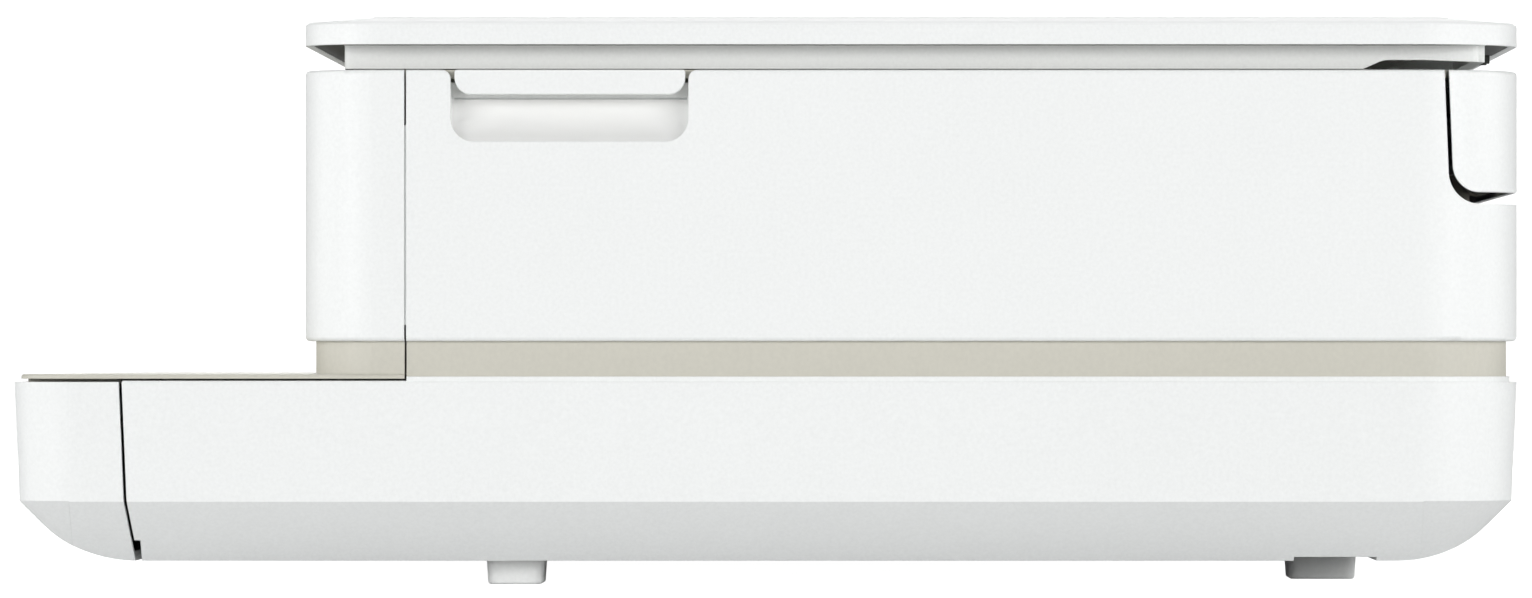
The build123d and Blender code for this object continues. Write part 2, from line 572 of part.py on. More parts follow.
CARRIAGE_X = 158.0
with BuildPart() as carriage:
    block(CARRIAGE_X - 33, CARRIAGE_X + 33, -14, 62, 71.5, 92)
    block(CARRIAGE_X - 30, CARRIAGE_X + 30, -11, 52, 73.5, 100, mode=Mode.SUBTRACT)
    block(CARRIAGE_X - 33, CARRIAGE_X - 30, -14, 62, 92, 99)
    block(CARRIAGE_X + 30, CARRIAGE_X + 33, -14, 62, 92, 99)
    block(CARRIAGE_X - 1.2, CARRIAGE_X + 1.2, -14, 52, 73, 96)
    block(CARRIAGE_X - 33, CARRIAGE_X + 33, 60, 73.0, 77, 93)
    block(CARRIAGE_X - 12, CARRIAGE_X + 12, 72.9, 80.6, 79.5, 86.2)
    block(CARRIAGE_X - 13, CARRIAGE_X + 13, 74.7, 79.4, 81.3, 84.5, mode=Mode.SUBTRACT)
    rod_x(CARRIAGE_X - 40, CARRIAGE_X + 40, ROD_Y, ROD_Z, ROD_RADIUS + RUN_FIT, mode=Mode.SUBTRACT)
    for dx in (-15.6, 15.6):
        block(CARRIAGE_X + dx - 7, CARRIAGE_X + dx + 7, 8, 40, 70, 75, mode=Mode.SUBTRACT)


def cartridge(offset, width):
    """An ink cartridge with its nozzle foot through the carriage floor."""
    centre = CARRIAGE_X + offset
    with BuildPart() as shell:
        block(centre - width / 2, centre + width / 2, -10, 48, 74, 100)
        fillet(shell.edges().filter_by(Axis.X).group_by(Axis.Z)[-1], 3)
        block(centre - 5, centre + 5, -13, -8, 92.4, 99)
        block(centre - 6, centre + 6, 10, 38, 71.8, 74.5)
    return shell


black_cartridge = cartridge(-15.6, 27.5)
color_cartridge = cartridge(15.6, 27.5)

with BuildPart() as feed_roller:
    rod_x(-178.5, 130.5, FEED_Y, ROLLER_Z, SHAFT_RADIUS)
    rod_x(-112, 112, FEED_Y, ROLLER_Z, ROLLER_RADIUS)
    rod_x(*TIMING_X, FEED_Y, ROLLER_Z, TIMING_RADIUS)


def spur_gear(teeth, y, z, turn):
    """A module 1 spur gear on an X axis, its first tooth at the given angle from +Y towards +Z."""
    pitch = teeth / 2
    with BuildPart() as gear:
        with BuildSketch(Plane.YZ.offset(DRIVE_X[0])):
            with Locations((y, z)):
                Circle(pitch - 1.25)
            for tooth in range(teeth):
                with Locations(Location((y, z), turn + 360 * tooth / teeth)):
                    Polygon(
                        (pitch - 1.5, -0.85),
                        (pitch, -0.62),
                        (pitch + 0.8, -0.28),
                        (pitch + 0.8, 0.28),
                        (pitch, 0.62),
                        (pitch - 1.5, 0.85),
                        align=None,
                    )
        extrude(amount=DRIVE_X[1] - DRIVE_X[0])
    return gear.part


with BuildPart() as feed_gear:
    add(spur_gear(DRIVE_TEETH, FEED_Y, ROLLER_Z, PINION_ANGLE))
    rod_x(-180, -160, FEED_Y, ROLLER_Z, SHAFT_RADIUS, mode=Mode.SUBTRACT)

with BuildPart() as motor_pinion:
    add(spur_gear(PINION_TEETH, PINION_Y, PINION_Z, PINION_ANGLE + 180 + 180 / PINION_TEETH))
    rod_x(-176.9, -166.5, PINION_Y, PINION_Z, 1.5)

with BuildPart() as feed_motor:
    rod_x(-202, -177.5, PINION_Y, PINION_Z, 12)
    fillet(feed_motor.faces().sort_by(Axis.X)[0].edges(), 1)
    block(-198, -181.5, PINION_Y - 8, PINION_Y + 8, DECK_TOP, PINION_Z)

with BuildPart() as transfer_belt:
    with BuildSketch(Plane.YZ.offset(TIMING_X[0])):
        with Locations(((FEED_Y + DISCHARGE_Y) / 2, ROLLER_Z)):
            SlotCenterToCenter(FEED_Y - DISCHARGE_Y, 2 * TIMING_RADIUS + 1.6)
            SlotCenterToCenter(FEED_Y - DISCHARGE_Y, 2 * TIMING_RADIUS + 0.2, mode=Mode.SUBTRACT)
    extrude(amount=TIMING_X[1] - TIMING_X[0])

with BuildPart() as discharge_roller:
    rod_x(-170, 130.5, DISCHARGE_Y, ROLLER_Z, SHAFT_RADIUS)
    rod_x(*TIMING_X, DISCHARGE_Y, ROLLER_Z, TIMING_RADIUS)
    for x in range(-96, 97, 32):
        rod_x(x - 7, x + 7, DISCHARGE_Y, ROLLER_Z, ROLLER_RADIUS)

with BuildPart() as platen:
    block(-122, 122, -22, 64, DECK_TOP, 65.5)
    with Locations(*[(x, 21, 66.2) for x in range(-110, 111, 20)]):
        Box(1.6, 80, 2.2)
    block(-110, 110, -14, 56, 62, 65.5, mode=Mode.SUBTRACT)
    with Locations(*[(x, 21, 64.5) for x in range(-110, 111, 20)]):
        Box(1.6, 72, 5.6)
    block(126, 130.5, -36, 80, DECK_TOP, 69)
    block(121, 127, -20, 60, DECK_TOP, 58.5)
    rod_x(120, 132, FEED_Y, ROLLER_Z, SHAFT_RADIUS + RUN_FIT, mode=Mode.SUBTRACT)
    rod_x(120, 132, DISCHARGE_Y, ROLLER_Z, SHAFT_RADIUS + RUN_FIT, mode=Mode.SUBTRACT)

with BuildPart() as star_wheel_bar:
    block(LEFT_PLATE[1], 130.4, -36, -24, 75.5, 78)
    block(126.1, 130.4, -36, -24, 69, 76)
    for x in range(-96, 97, 32):
        block(x - 3.5, x - 2, -33, -27, 70, 76)
        block(x + 2, x + 3.5, -33, -27, 70, 76)
        rod_x(x - 0.4, x + 0.4, DISCHARGE_Y, 71.8, 3.0)
        rod_x(x - 2.5, x + 2.5, DISCHARGE_Y, 71.8, 0.8)

with BuildPart() as service_station:
    block(131, 188, -16, 58, DECK_TOP, 68)
    block(133, 186, -13, 55, 60, 70, mode=Mode.SUBTRACT)
    for dx in (-15.6, 15.6):
        block(CARRIAGE_X + dx - 9, CARRIAGE_X + dx + 9, 4, 44, 59.5, 67.5)

with BuildPart() as cap_seals:
    for dx in (-15.6, 15.6):
        x = CARRIAGE_X + dx
        block(x - 8, x + 8, 6, 42, 67.5, 69.6)
        block(x - 6.5, x + 6.5, 7.5, 40.5, 68.4, 70, mode=Mode.SUBTRACT)
    block(140, 180, -8, -6.4, 60, 70.9)

GUIDE_CENTRE = (122.0, 49.0)
with BuildPart() as rear_paper_guide:
    with BuildSketch(Plane.YZ):
        with Locations(GUIDE_CENTRE):
            Circle(40)
            Circle(37.5, mode=Mode.SUBTRACT)
        with Locations((GUIDE_CENTRE[0] - 60, GUIDE_CENTRE[1])):
            Rectangle(126, 120, mode=Mode.SUBTRACT)
    extrude(amount=112, both=True)
    for x in (-105, -52, 0, 52, 105):
        with BuildSketch(Plane.YZ.offset(x)):
            with Locations(GUIDE_CENTRE):
                Rectangle(43, 77, align=(Align.MIN, Align.CENTER))
                Circle(39.5, mode=Mode.SUBTRACT)
            with Locations((GUIDE_CENTRE[0], GUIDE_CENTRE[1])):
                Rectangle(12, 80, mode=Mode.SUBTRACT)
        extrude(amount=2)
    for x0, x1 in ((-125, -110), (110, 125)):
        block(x0, x1, 130, 160, DECK_TOP, DECK_TOP + 2)

with BuildPart() as pick_arm:
    for x in (-18, 15):
        with BuildSketch(Plane.YZ.offset(x)):
            with BuildLine():
                Line(PICK_PIVOT, PICK_ROLLER)
            trace(line_width=9)
            with Locations(PICK_PIVOT, PICK_ROLLER):
                Circle(5.0)
        extrude(amount=3)
    rod_x(-17, 17, *PICK_PIVOT, 3.5)
    block(-17, 17, 76.5, 82.5, 38, 44)
    rod_x(-26, 26, *PICK_PIVOT, 2.5)
    rod_x(-20, 20, *PICK_ROLLER, 1.5 + RUN_FIT, mode=Mode.SUBTRACT)

with BuildPart() as pick_roller:
    rod_x(-13, 13, *PICK_ROLLER, 9)
    fillet(pick_roller.edges(), 0.5)
    rod_x(-17.5, 17.5, *PICK_ROLLER, 1.5)

# ---- scanner unit -------------------------------------------------------------------------------------
WINDOW_X = (-182.0, 115.0)
WINDOW_Y = (-82.0, 134.0)
DECK_PLATE = BODY_TOP - 2.0
with BuildPart() as scanner_frame:
    slab(BODY_FRONT, WALL + 0.35, DECK_PLATE, BODY_TOP)
    block(-250, 250, 172.0, 250, 100, 150, mode=Mode.SUBTRACT)
    for side in (-1, 1):
        x0, x1 = sorted((side * 212.8, side * 220))
        block(x0, x1, 163, 172.5, 120, 140, mode=Mode.SUBTRACT)
    block(*WINDOW_X, *WINDOW_Y, 120, 140, mode=Mode.SUBTRACT)
    block(WINDOW_X[0] - 3.2, WINDOW_X[1] + 3.2, WINDOW_Y[0] - 3.2, WINDOW_Y[1] + 3.2, 120, 130.1, mode=Mode.SUBTRACT)
    block(-196, 196, 150, 188.1, DECK_PLATE - 2, DECK_PLATE)
    for side in (-1, 1):
        for x in (145.0, 160.0):
            x0, x1 = sorted((side * x, side * (x + 5)))
            with BuildSketch(Plane.YZ.offset(x0)):
                with Locations(SCANNER_PIVOT):
                    Circle(5.2)
                with Locations((178.3, (SCANNER_PIVOT[1] + DECK_PLATE - 1) / 2)):
                    Rectangle(10.4, DECK_PLATE - 1 - SCANNER_PIVOT[1], align=(Align.MIN, Align.CENTER))
            extrude(amount=x1 - x0)
    rod_x(-165, -145, *SCANNER_PIVOT, 2.5)
    rod_x(145, 165, *SCANNER_PIVOT, 2.5)
    for side in (-1, 1):
        x0, x1 = sorted((side * 206, side * (HALF_WIDTH - 2.05)))
        block(x0, x1, -78, -21, DECK_PLATE, BODY_TOP)

with BuildPart() as rear_cover:
    slab(BODY_FRONT, 0, 99.7, BODY_TOP)
    fillet(rear_cover.faces().sort_by(Axis.Z)[-1].edges(), 1.0)
    fillet(rear_cover.faces().sort_by(Axis.Z)[0].edges(), 0.6)
    slab(BODY_FRONT, WALL, 90, DECK_PLATE, mode=Mode.SUBTRACT)
    side_prism(
        [(172.2, 140), (173.8, 99.7), (220, 99.7), (220, 140)],
        HALF_WIDTH + 5,
        mode=Mode.INTERSECT,
        rounded=(173.8, 99.7),
        radius=7.0,
    )


def lift_tab():
    """The finger tab on the right side of the scanner unit."""
    with BuildPart() as tab:
        with BuildSketch(Plane.YZ.offset(HALF_WIDTH - 2.0)) as face:
            with Locations((-49.55, (124.3 + BODY_TOP) / 2)):
                Rectangle(58.3, BODY_TOP - 124.3)
            fillet(face.vertices().group_by(Axis.Y)[0], 4.3)
            fillet(face.vertices().group_by(Axis.Y)[-1], 0.7)
        extrude(amount=2.0)
        fillet(tab.faces().sort_by(Axis.X)[-1].edges(), 0.4)
    return tab.part


tab_right = lift_tab()
with BuildPart() as lift_tabs:
    add(tab_right)
    add(mirror(tab_right, Plane.YZ))

with BuildPart() as scanner_glass:
    block(WINDOW_X[0] - 3, WINDOW_X[1] + 3, WINDOW_Y[0] - 3, WINDOW_Y[1] + 3, 127.4, 130.1)

PAN_X = (-194.0, 127.0)
PAN_Y = (-94.0, 146.0)
PAN_BOTTOM = 106.0
with BuildPart() as scanner_pan:
    block(*PAN_X, *PAN_Y, PAN_BOTTOM, DECK_PLATE)
    fillet(scanner_pan.edges().filter_by(Axis.Z), 4)
    block(PAN_X[0] + 2, PAN_X[1] - 2, PAN_Y[0] + 2, PAN_Y[1] - 2, PAN_BOTTOM + 2, 140, mode=Mode.SUBTRACT)

with BuildPart() as scan_rail:
    rod_x(PAN_X[0] + 2, PAN_X[1] - 2, 26, 112.5, 2.5)

with BuildPart() as scan_bar:
    block(-184, -168, -88, 140, 117, 126.6)
    block(-181, -171, -80, 132, 125.4, 128, mode=Mode.SUBTRACT)
    block(-178.5, -173.5, -78, 130, 125.3, 126.4)
    block(-184, -168, 18, 34, 109, 118)
    rod_x(-190, -160, 26, 112.5, 2.5 + RUN_FIT, mode=Mode.SUBTRACT)

HINGE_X = 120.0
with BuildPart() as lid_hinges:
    for side in (-1, 1):
        x0, x1 = sorted((side * (HINGE_X - 4), side * (HINGE_X + 4)))
        with BuildSketch(Plane.YZ.offset(x0)):
            Polygon(
                (158, BODY_TOP),
                (158, BODY_TOP + 2),
                (170, 136.4),
                (183, 136.8),
                (184.5, 134.9),
                (180.5, 134.4),
                (176.5, BODY_TOP),
                align=None,
            )
            with Locations(LID_PIVOT):
                Circle(3.3)
        extrude(amount=x1 - x0)
    rod_x(-140, 140, *LID_PIVOT, 1.6 + RUN_FIT, mode=Mode.SUBTRACT)

# ---- lid ----------------------------------------------------------------------------------------------
with BuildPart() as lid_cover:
    slab(BODY_FRONT, 0, RIM_BOTTOM, RIM_TOP)
    crown = [(0, RIM_TOP), (0.9, RIM_TOP + 0.7), (6, 143.3), (13, 144.0), (17, LID_TOP - 0.25)]
    for (inset, low), (next_inset, high) in zip(crown, crown[1:]):
        loft([outline(BODY_FRONT, inset, low), outline(BODY_FRONT, next_inset, high)], ruled=True)
    with BuildSketch(Plane.XY.offset(LID_TOP - 0.25)):
        add(outline(BODY_FRONT, 17, 0))
    extrude(amount=0.25, taper=60)
    slab(BODY_FRONT, 2.2, RIM_BOTTOM - 1, RIM_TOP - 0.4, mode=Mode.SUBTRACT)

PLINTH_SIDE = 207.5
PLINTH_Y = (-107.0, 180.6)
with BuildPart() as lid_frame:
    slab(BODY_FRONT, 2.4, RIM_BOTTOM, RIM_BOTTOM + 1.6)
    block(-PLINTH_SIDE, PLINTH_SIDE, *PLINTH_Y, LID_BOTTOM, RIM_BOTTOM + 0.5)
    fillet(lid_frame.edges().filter_by(Axis.Z).filter_by_position(Axis.Z, LID_BOTTOM, RIM_BOTTOM + 0.5), 1.5)
    block(
        -PLINTH_SIDE + 2,
        PLINTH_SIDE - 2,
        PLINTH_Y[0] + 2,
        PLINTH_Y[1] - 2,
        LID_BOTTOM - 1,
        RIM_BOTTOM,
        mode=Mode.SUBTRACT,
    )
    block(-205, 205, 178.6, 182.2, LID_BOTTOM, RIM_BOTTOM + 0.5)
    side_prism(
        [(148.5, 130), (151.0, 130.9), (156.4, 133.3), (166.0, 133.3), (181.0, 132.8), (184.0, 132.8), (184.0, 130)],
        HALF_WIDTH + 5,
        mode=Mode.SUBTRACT,
        rounded=(156.4, 133.3),
        radius=6.0,
    )
    for side in (-1, 1):
        x0, x1 = sorted((side * (HINGE_X - 5), side * (HINGE_X + 5)))
        block(x0, x1, 150, 191, 129, 145, mode=Mode.SUBTRACT)
        for dx in (-8.2, 4.4):
            x0, x1 = sorted((side * (HINGE_X + dx), side * (HINGE_X + dx + 3.8)))
            block(x0, x1, 181.4, 188.2, 134.9, 141.4)
        x0, x1 = sorted((side * (HINGE_X - 5.5), side * (HINGE_X + 5.5)))
        rod_x(x0, x1, *LID_PIVOT, 1.6)

with BuildPart() as lid_pad:
    block(-190, 190, -88, 140, BODY_TOP + 0.3, RIM_BOTTOM)
    fillet(lid_pad.edges().filter_by(Axis.Z), 6)

# ---- feet and fasteners -------------------------------------------------------------------------------
with BuildPart() as feet:
    for x, y, depth in ((-178, -64.4, 14.7), (178, -64.4, 14.7), (-118, 144.2, 18.0), (118, 144.2, 18.0)):
        with BuildSketch(Plane.XY.offset(BASE_BOTTOM)):
            with Locations((x, y)):
                RectangleRounded(26, depth, 3)
        extrude(amount=-BASE_BOTTOM, taper=4)
    fillet(feet.faces().filter_by(Axis.Z).group_by(Axis.Z)[0].edges(), 0.8)

with BuildPart() as housing_screws:
    for x, y in BOSSES:
        rod_z(6.8, 8.6, x, y, 3.7)
        rod_z(8.5, 30, x, y, 1.9)
    for x, y in BOSSES:
        with Locations((x, y, 6.9)):
            Box(4.6, 0.9, 1.2, mode=Mode.SUBTRACT)
            Box(0.9, 4.6, 1.2, mode=Mode.SUBTRACT)

# ---- output -------------------------------------------------------------------------------------------
pieces = {
    "base_shell": base_shell,
    "tray_front": tray_front,
    "tray_pan": tray_pan,
    "width_guide_left": width_guide_left,
    "width_guide_right": width_guide_right,
    "guide_pinion": guide_pinion,
    "length_guide": length_guide,
    "mid_frame": mid_frame,
    "output_shelf": output_shelf,
    "output_extender": output_extender,
    "output_stop": output_stop,
    "upper_shell": upper_shell,
    "front_cover": front_cover,
    "panel_bezel": panel_bezel,
    "display_glass": display_glass,
    "control_board": control_board,
    "power_inlet": power_inlet,
    "usb_port": usb_port,
    "main_board": main_board,
    "power_supply": power_supply,
    "chassis_left": chassis_left,
    "chassis_right": chassis_right,
    "carriage_rod": carriage_rod,
    "carriage_beam": carriage_beam,
    "carriage_motor": carriage_motor,
    "carriage_pulley": carriage_pulley,
    "idler_pulley": idler_pulley,
    "carriage_belt": carriage_belt,
    "carriage": carriage,
    "black_cartridge": black_cartridge,
    "color_cartridge": color_cartridge,
    "feed_roller": feed_roller,
    "feed_gear": feed_gear,
    "motor_pinion": motor_pinion,
    "feed_motor": feed_motor,
    "transfer_belt": transfer_belt,
    "discharge_roller": discharge_roller,
    "platen": platen,
    "star_wheel_bar": star_wheel_bar,
    "service_station": service_station,
    "cap_seals": cap_seals,
    "rear_paper_guide": rear_paper_guide,
    "pick_arm": pick_arm,
    "pick_roller": pick_roller,
    "scanner_frame": scanner_frame,
    "rear_cover": rear_cover,
    "lift_tabs": lift_tabs,
    "scanner_glass": scanner_glass,
    "scanner_pan": scanner_pan,
    "scan_rail": scan_rail,
    "scan_bar": scan_bar,
    "lid_hinges": lid_hinges,
    "lid_cover": lid_cover,
    "lid_frame": lid_frame,
    "lid_pad": lid_pad,
    "feet": feet,
    "housing_screws": housing_screws,
} | buttons

os.makedirs("parts", exist_ok=True)
for name, piece in pieces.items():
    piece.part.label = name
    export_step(piece.part, f"parts/{name}.step")
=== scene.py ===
"""Looks for the inkjet printer: finishes for every piece, small added pieces and the studio."""

from math import cos, pi, radians, sin

import bmesh
import bpy
from mathutils import Matrix, Vector


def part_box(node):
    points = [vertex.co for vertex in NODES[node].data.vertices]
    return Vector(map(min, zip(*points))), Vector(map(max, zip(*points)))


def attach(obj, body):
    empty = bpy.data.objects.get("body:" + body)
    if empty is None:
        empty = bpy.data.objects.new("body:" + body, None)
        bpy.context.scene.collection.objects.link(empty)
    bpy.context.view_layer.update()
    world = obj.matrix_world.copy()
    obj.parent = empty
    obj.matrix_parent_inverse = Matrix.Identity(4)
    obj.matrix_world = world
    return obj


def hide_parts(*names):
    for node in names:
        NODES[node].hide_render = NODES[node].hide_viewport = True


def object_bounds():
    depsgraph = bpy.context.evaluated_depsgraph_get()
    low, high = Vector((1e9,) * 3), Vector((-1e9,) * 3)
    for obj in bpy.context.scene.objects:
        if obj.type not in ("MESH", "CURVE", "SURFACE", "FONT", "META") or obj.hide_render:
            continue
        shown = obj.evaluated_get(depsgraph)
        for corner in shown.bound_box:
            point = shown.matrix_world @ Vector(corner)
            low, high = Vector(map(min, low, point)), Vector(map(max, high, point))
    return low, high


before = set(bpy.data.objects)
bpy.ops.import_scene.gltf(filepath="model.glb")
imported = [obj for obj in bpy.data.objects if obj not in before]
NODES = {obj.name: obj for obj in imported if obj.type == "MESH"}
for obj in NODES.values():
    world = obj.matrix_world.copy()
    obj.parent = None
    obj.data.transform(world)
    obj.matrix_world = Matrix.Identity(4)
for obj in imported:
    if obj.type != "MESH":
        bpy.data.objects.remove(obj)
CAD_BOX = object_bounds()

bl_info = {
    "name": "Inkjet Printer Looks",
    "version": (1, 0, 0),
    "blender": (4, 5, 0),
    "location": "View3D > Sidebar > Printer",
    "description": "Finishes, added pieces and studio for the inkjet printer",
    "category": "Object",
}

MM = 0.001

# Limits in metres that tell one piece's regions apart.
# The finger pocket's limits bound a painted highlight on the upper shell.
POCKET_CENTRE = (0.21155, -0.04975, 0.1178)
POCKET_REACH = (0.0048, 0.0300, 0.0057)
CROWN_FOOT = 0.14222
# The lid frame's limits bound its painted shade and its painted-shade dark foot.
FRAME_SIDE = 0.2077
FRAME_FRONT = -0.1072
FRAME_REAR = 0.1824
FRAME_FOOT_TOP = 0.13105
MAIN_BOARD_FACE = 0.06125
MAIN_BOARD_CLEAR = 0.080
PANEL_BOARD_FACE = -0.10965
ROLLER_AXES_Y = (0.072, -0.030)
ROLLER_AXIS_Z = 0.0626
SHAFT_REACH = 0.0031
STAR_WHEEL_AXIS = (-0.030, 0.0718)
FILM = 0.05
SYMBOL_DEPTH = 0.06


# ---- settings -----------------------------------------------------------------------------------------
def colour_property(name, description, default):
    """A colour a user can change, in linear values."""
    return bpy.props.FloatVectorProperty(
        name=name, description=description, default=default, subtype="COLOR", size=3, min=0.0, max=1.0
    )


def number_property(name, description, default, low=0.0, high=1.0):
    """A plain number a user can change."""
    return bpy.props.FloatProperty(name=name, description=description, default=default, min=low, max=high)


def length_property(name, description, default):
    """A length a user can change, in metres."""
    return bpy.props.FloatProperty(
        name=name, description=description, default=default, min=0.0, unit="LENGTH"
    )


class PrinterFinish(bpy.types.PropertyGroup):
    """Colours and surface values of the printer's plastics, metals and rubbers."""

    housing: colour_property("Housing", "White of the outer mouldings", (0.86, 0.875, 0.87))
    band: colour_property("Band", "Beige of the band, the shelf and the scanner deck", (0.585, 0.57, 0.50))
    trim: colour_property("Trim", "Light grey of the lid frame and the guides", (0.90, 0.915, 0.90))
    engine: colour_property("Engine", "Black of the print engine's mouldings", (0.018, 0.018, 0.020))
    tray: colour_property("Tray", "Grey of the sheet tray's pan", (0.30, 0.305, 0.31))
    housing_roughness: number_property("Housing roughness", "Roughness of the white mouldings", 0.42)
    grain_size: length_property("Grain size", "Size of the moulded grain", 0.00055)
    grain_depth: number_property("Grain depth", "Strength of the moulded grain", 0.10)
    edge_radius: length_property("Edge radius", "Rounding seen on moulded edges", 0.00025)


class PrinterDetails(bpy.types.PropertyGroup):
    """Sizes of the small pieces that are added to the frame."""

    symbol_height: length_property("Symbol height", "Height of a button's symbol", 0.0042)
    symbol_line: length_property("Symbol line", "Line width of a button's symbol", 0.00055)
    star_radius: length_property("Star wheel radius", "Outer radius of a star wheel", 0.0036)
    star_points: bpy.props.IntProperty(
        name="Star wheel points", description="Points on a star wheel", default=16, min=6
    )
    pad_corner: length_property("Pad corner", "Corner radius of the lid pad", 0.008)
    pad_edge: length_property("Pad edge", "Rounding of the lid pad's lower edge", 0.0022)


class PrinterStage(bpy.types.PropertyGroup):
    """Camera and light of the studio."""

    camera_distance: length_property("Camera distance", "Distance from the near side to the camera", 2.4)
    camera_height: length_property("Camera height", "Height of the camera over the floor", 0.0567)
    camera_offset: length_property("Camera offset", "How far the camera stands towards the rear", 0.0346)
    frame_width: length_property("Frame width", "Width of the picture at the near side", 0.3869)
    frame_height: length_property("Frame centre", "Height of the picture's centre at the near side", 0.07265)
    key_power: number_property("Key lights", "Power of the two large lights at the side", 84.0, 0.0, 2000.0)
    end_power: number_property("End lights", "Power of the lights at front and rear", 46.0, 0.0, 2000.0)
    top_power: number_property("Top light", "Power of the light overhead", 20.0, 0.0, 2000.0)
    back_power: number_property("Back lights", "Power of the light on the far side", 40.0, 0.0, 2000.0)
    room_light: number_property("Room light", "Strength of the even light all round", 0.14, 0.0, 10.0)


# ---- node helpers -------------------------------------------------------------------------------------
def new_group(name, inputs, outputs):
    """An empty shader node group with its sockets: (name, kind, default) in, (name, kind) out."""
    group = bpy.data.node_groups.new(name, "ShaderNodeTree")
    kinds = {"float": "NodeSocketFloat", "colour": "NodeSocketColor", "vector": "NodeSocketVector"}
    for label, kind, default in inputs:
        socket = group.interface.new_socket(name=label, in_out="INPUT", socket_type=kinds[kind])
        socket.default_value = default
    for label, kind in outputs:
        group.interface.new_socket(name=label, in_out="OUTPUT", socket_type=kinds[kind])
    return group, group.nodes.new("NodeGroupInput"), group.nodes.new("NodeGroupOutput")


def add_node(tree, kind, links=None, **values):
    """A node with its properties set and the given sockets linked or filled in."""
    node = tree.nodes.new(kind)
    for key, value in values.items():
        setattr(node, key, value)
    for socket, source in (links or {}).items():
        if isinstance(source, bpy.types.NodeSocket):
            tree.links.new(source, node.inputs[socket])
        else:
            node.inputs[socket].default_value = source
    return node


def math_node(tree, operation, first, second=0.0, third=0.0, clamp=False):
    """A math node's output socket."""
    sockets = {0: first, 1: second, 2: third}
    return add_node(tree, "ShaderNodeMath", sockets, operation=operation, use_clamp=clamp).outputs[0]


def noise(tree, place, scale, detail, roughness=0.5):
    """A noise texture's factor."""
    sockets = {"Vector": place, "Scale": scale, "Detail": detail, "Roughness": roughness}
    return add_node(tree, "ShaderNodeTexNoise", sockets).outputs["Fac"]


def cell_distance(tree, place, scale, distance="EUCLIDEAN"):
    """The distance to the nearest cell's point in a Voronoi texture."""
    sockets = {"Vector": place, "Scale": scale}
    return add_node(tree, "ShaderNodeTexVoronoi", sockets, distance=distance).outputs["Distance"]


def bump_normal(tree, strength, distance, height, **links):
    """A bump node's normal."""
    sockets = {"Strength": strength, "Distance": distance, "Height": height, **links}
    return add_node(tree, "ShaderNodeBump", sockets).outputs[0]


def stripes(tree, place, scale, direction):
    """A wave texture's factor, its bands across one axis."""
    sockets = {"Vector": place, "Scale": scale}
    return add_node(tree, "ShaderNodeTexWave", sockets, bands_direction=direction).outputs["Fac"]


def object_place(tree):
    """The Object coordinates in a tree."""
    return add_node(tree, "ShaderNodeTexCoord").outputs["Object"]


def object_axes(tree):
    """The Object coordinates' X, Y and Z."""
    parts = add_node(tree, "ShaderNodeSeparateXYZ", {0: object_place(tree)})
    return parts.outputs["X"], parts.outputs["Y"], parts.outputs["Z"]


def make_moulded_grain():
    """Fine spark-eroded grain with softly rounded edges, as moulded plastic has."""
    group, ins, outs = new_group(
        "moulded grain",
        [("Grain Size", "float", 0.0006), ("Depth", "float", 0.1), ("Edge Radius", "float", 0.0002)],
        [("Normal", "vector"), ("Variation", "float"), ("Speckle", "float")],
    )
    place = object_place(group)
    scale = math_node(group, "DIVIDE", 1.0, ins.outputs["Grain Size"])
    coarse = math_node(group, "MULTIPLY", scale, 0.62)
    pits = math_node(group, "MULTIPLY_ADD", noise(group, place, coarse, 1.0), 1.6, -0.3, clamp=True)
    group.links.new(pits, outs.inputs["Speckle"])
    grain = noise(group, place, scale, 2.0, 0.55)
    edge = add_node(group, "ShaderNodeBevel", {"Radius": ins.outputs["Edge Radius"]}, samples=4)
    normal = bump_normal(group, ins.outputs["Depth"], 0.0002, grain, Normal=edge.outputs[0])
    group.links.new(normal, outs.inputs["Normal"])
    group.links.new(noise(group, place, 14.0, 3.0), outs.inputs["Variation"])
    return group


def make_edge_wear():
    """A mask of edges where hands and assembly polish or scuff a surface."""
    group, ins, outs = new_group(
        "edge wear",
        [("Width", "float", 0.0006), ("Breakup", "float", 60.0)],
        [("Mask", "float")],
    )
    place = object_place(group)
    rounded = add_node(group, "ShaderNodeBevel", {"Radius": ins.outputs["Width"]}, samples=4)
    flat = add_node(group, "ShaderNodeNewGeometry").outputs["Normal"]
    turn = add_node(group, "ShaderNodeVectorMath", {0: rounded.outputs[0], 1: flat}, operation="DOT_PRODUCT")
    edge = math_node(group, "SUBTRACT", 1.0, turn.outputs["Value"], clamp=True)
    edge = math_node(group, "MULTIPLY", edge, 4.0, clamp=True)
    patches = noise(group, place, ins.outputs["Breakup"], 4.0)
    mask = math_node(group, "MULTIPLY", edge, patches, clamp=True)
    group.links.new(mask, outs.inputs["Mask"])
    return group


def make_fine_dust():
    """A thin uneven film of dust on faces that look up."""
    group, ins, outs = new_group("fine dust", [("Amount", "float", 0.2)], [("Mask", "float")])
    place = object_place(group)
    facing = add_node(group, "ShaderNodeNewGeometry").outputs["Normal"]
    upward = add_node(group, "ShaderNodeSeparateXYZ", {0: facing}).outputs["Z"]
    mask = math_node(group, "MULTIPLY", upward, noise(group, place, 45.0, 6.0, 0.65), clamp=True)
    mask = math_node(group, "MULTIPLY", mask, ins.outputs["Amount"], clamp=True)
    group.links.new(mask, outs.inputs["Mask"])
    return group


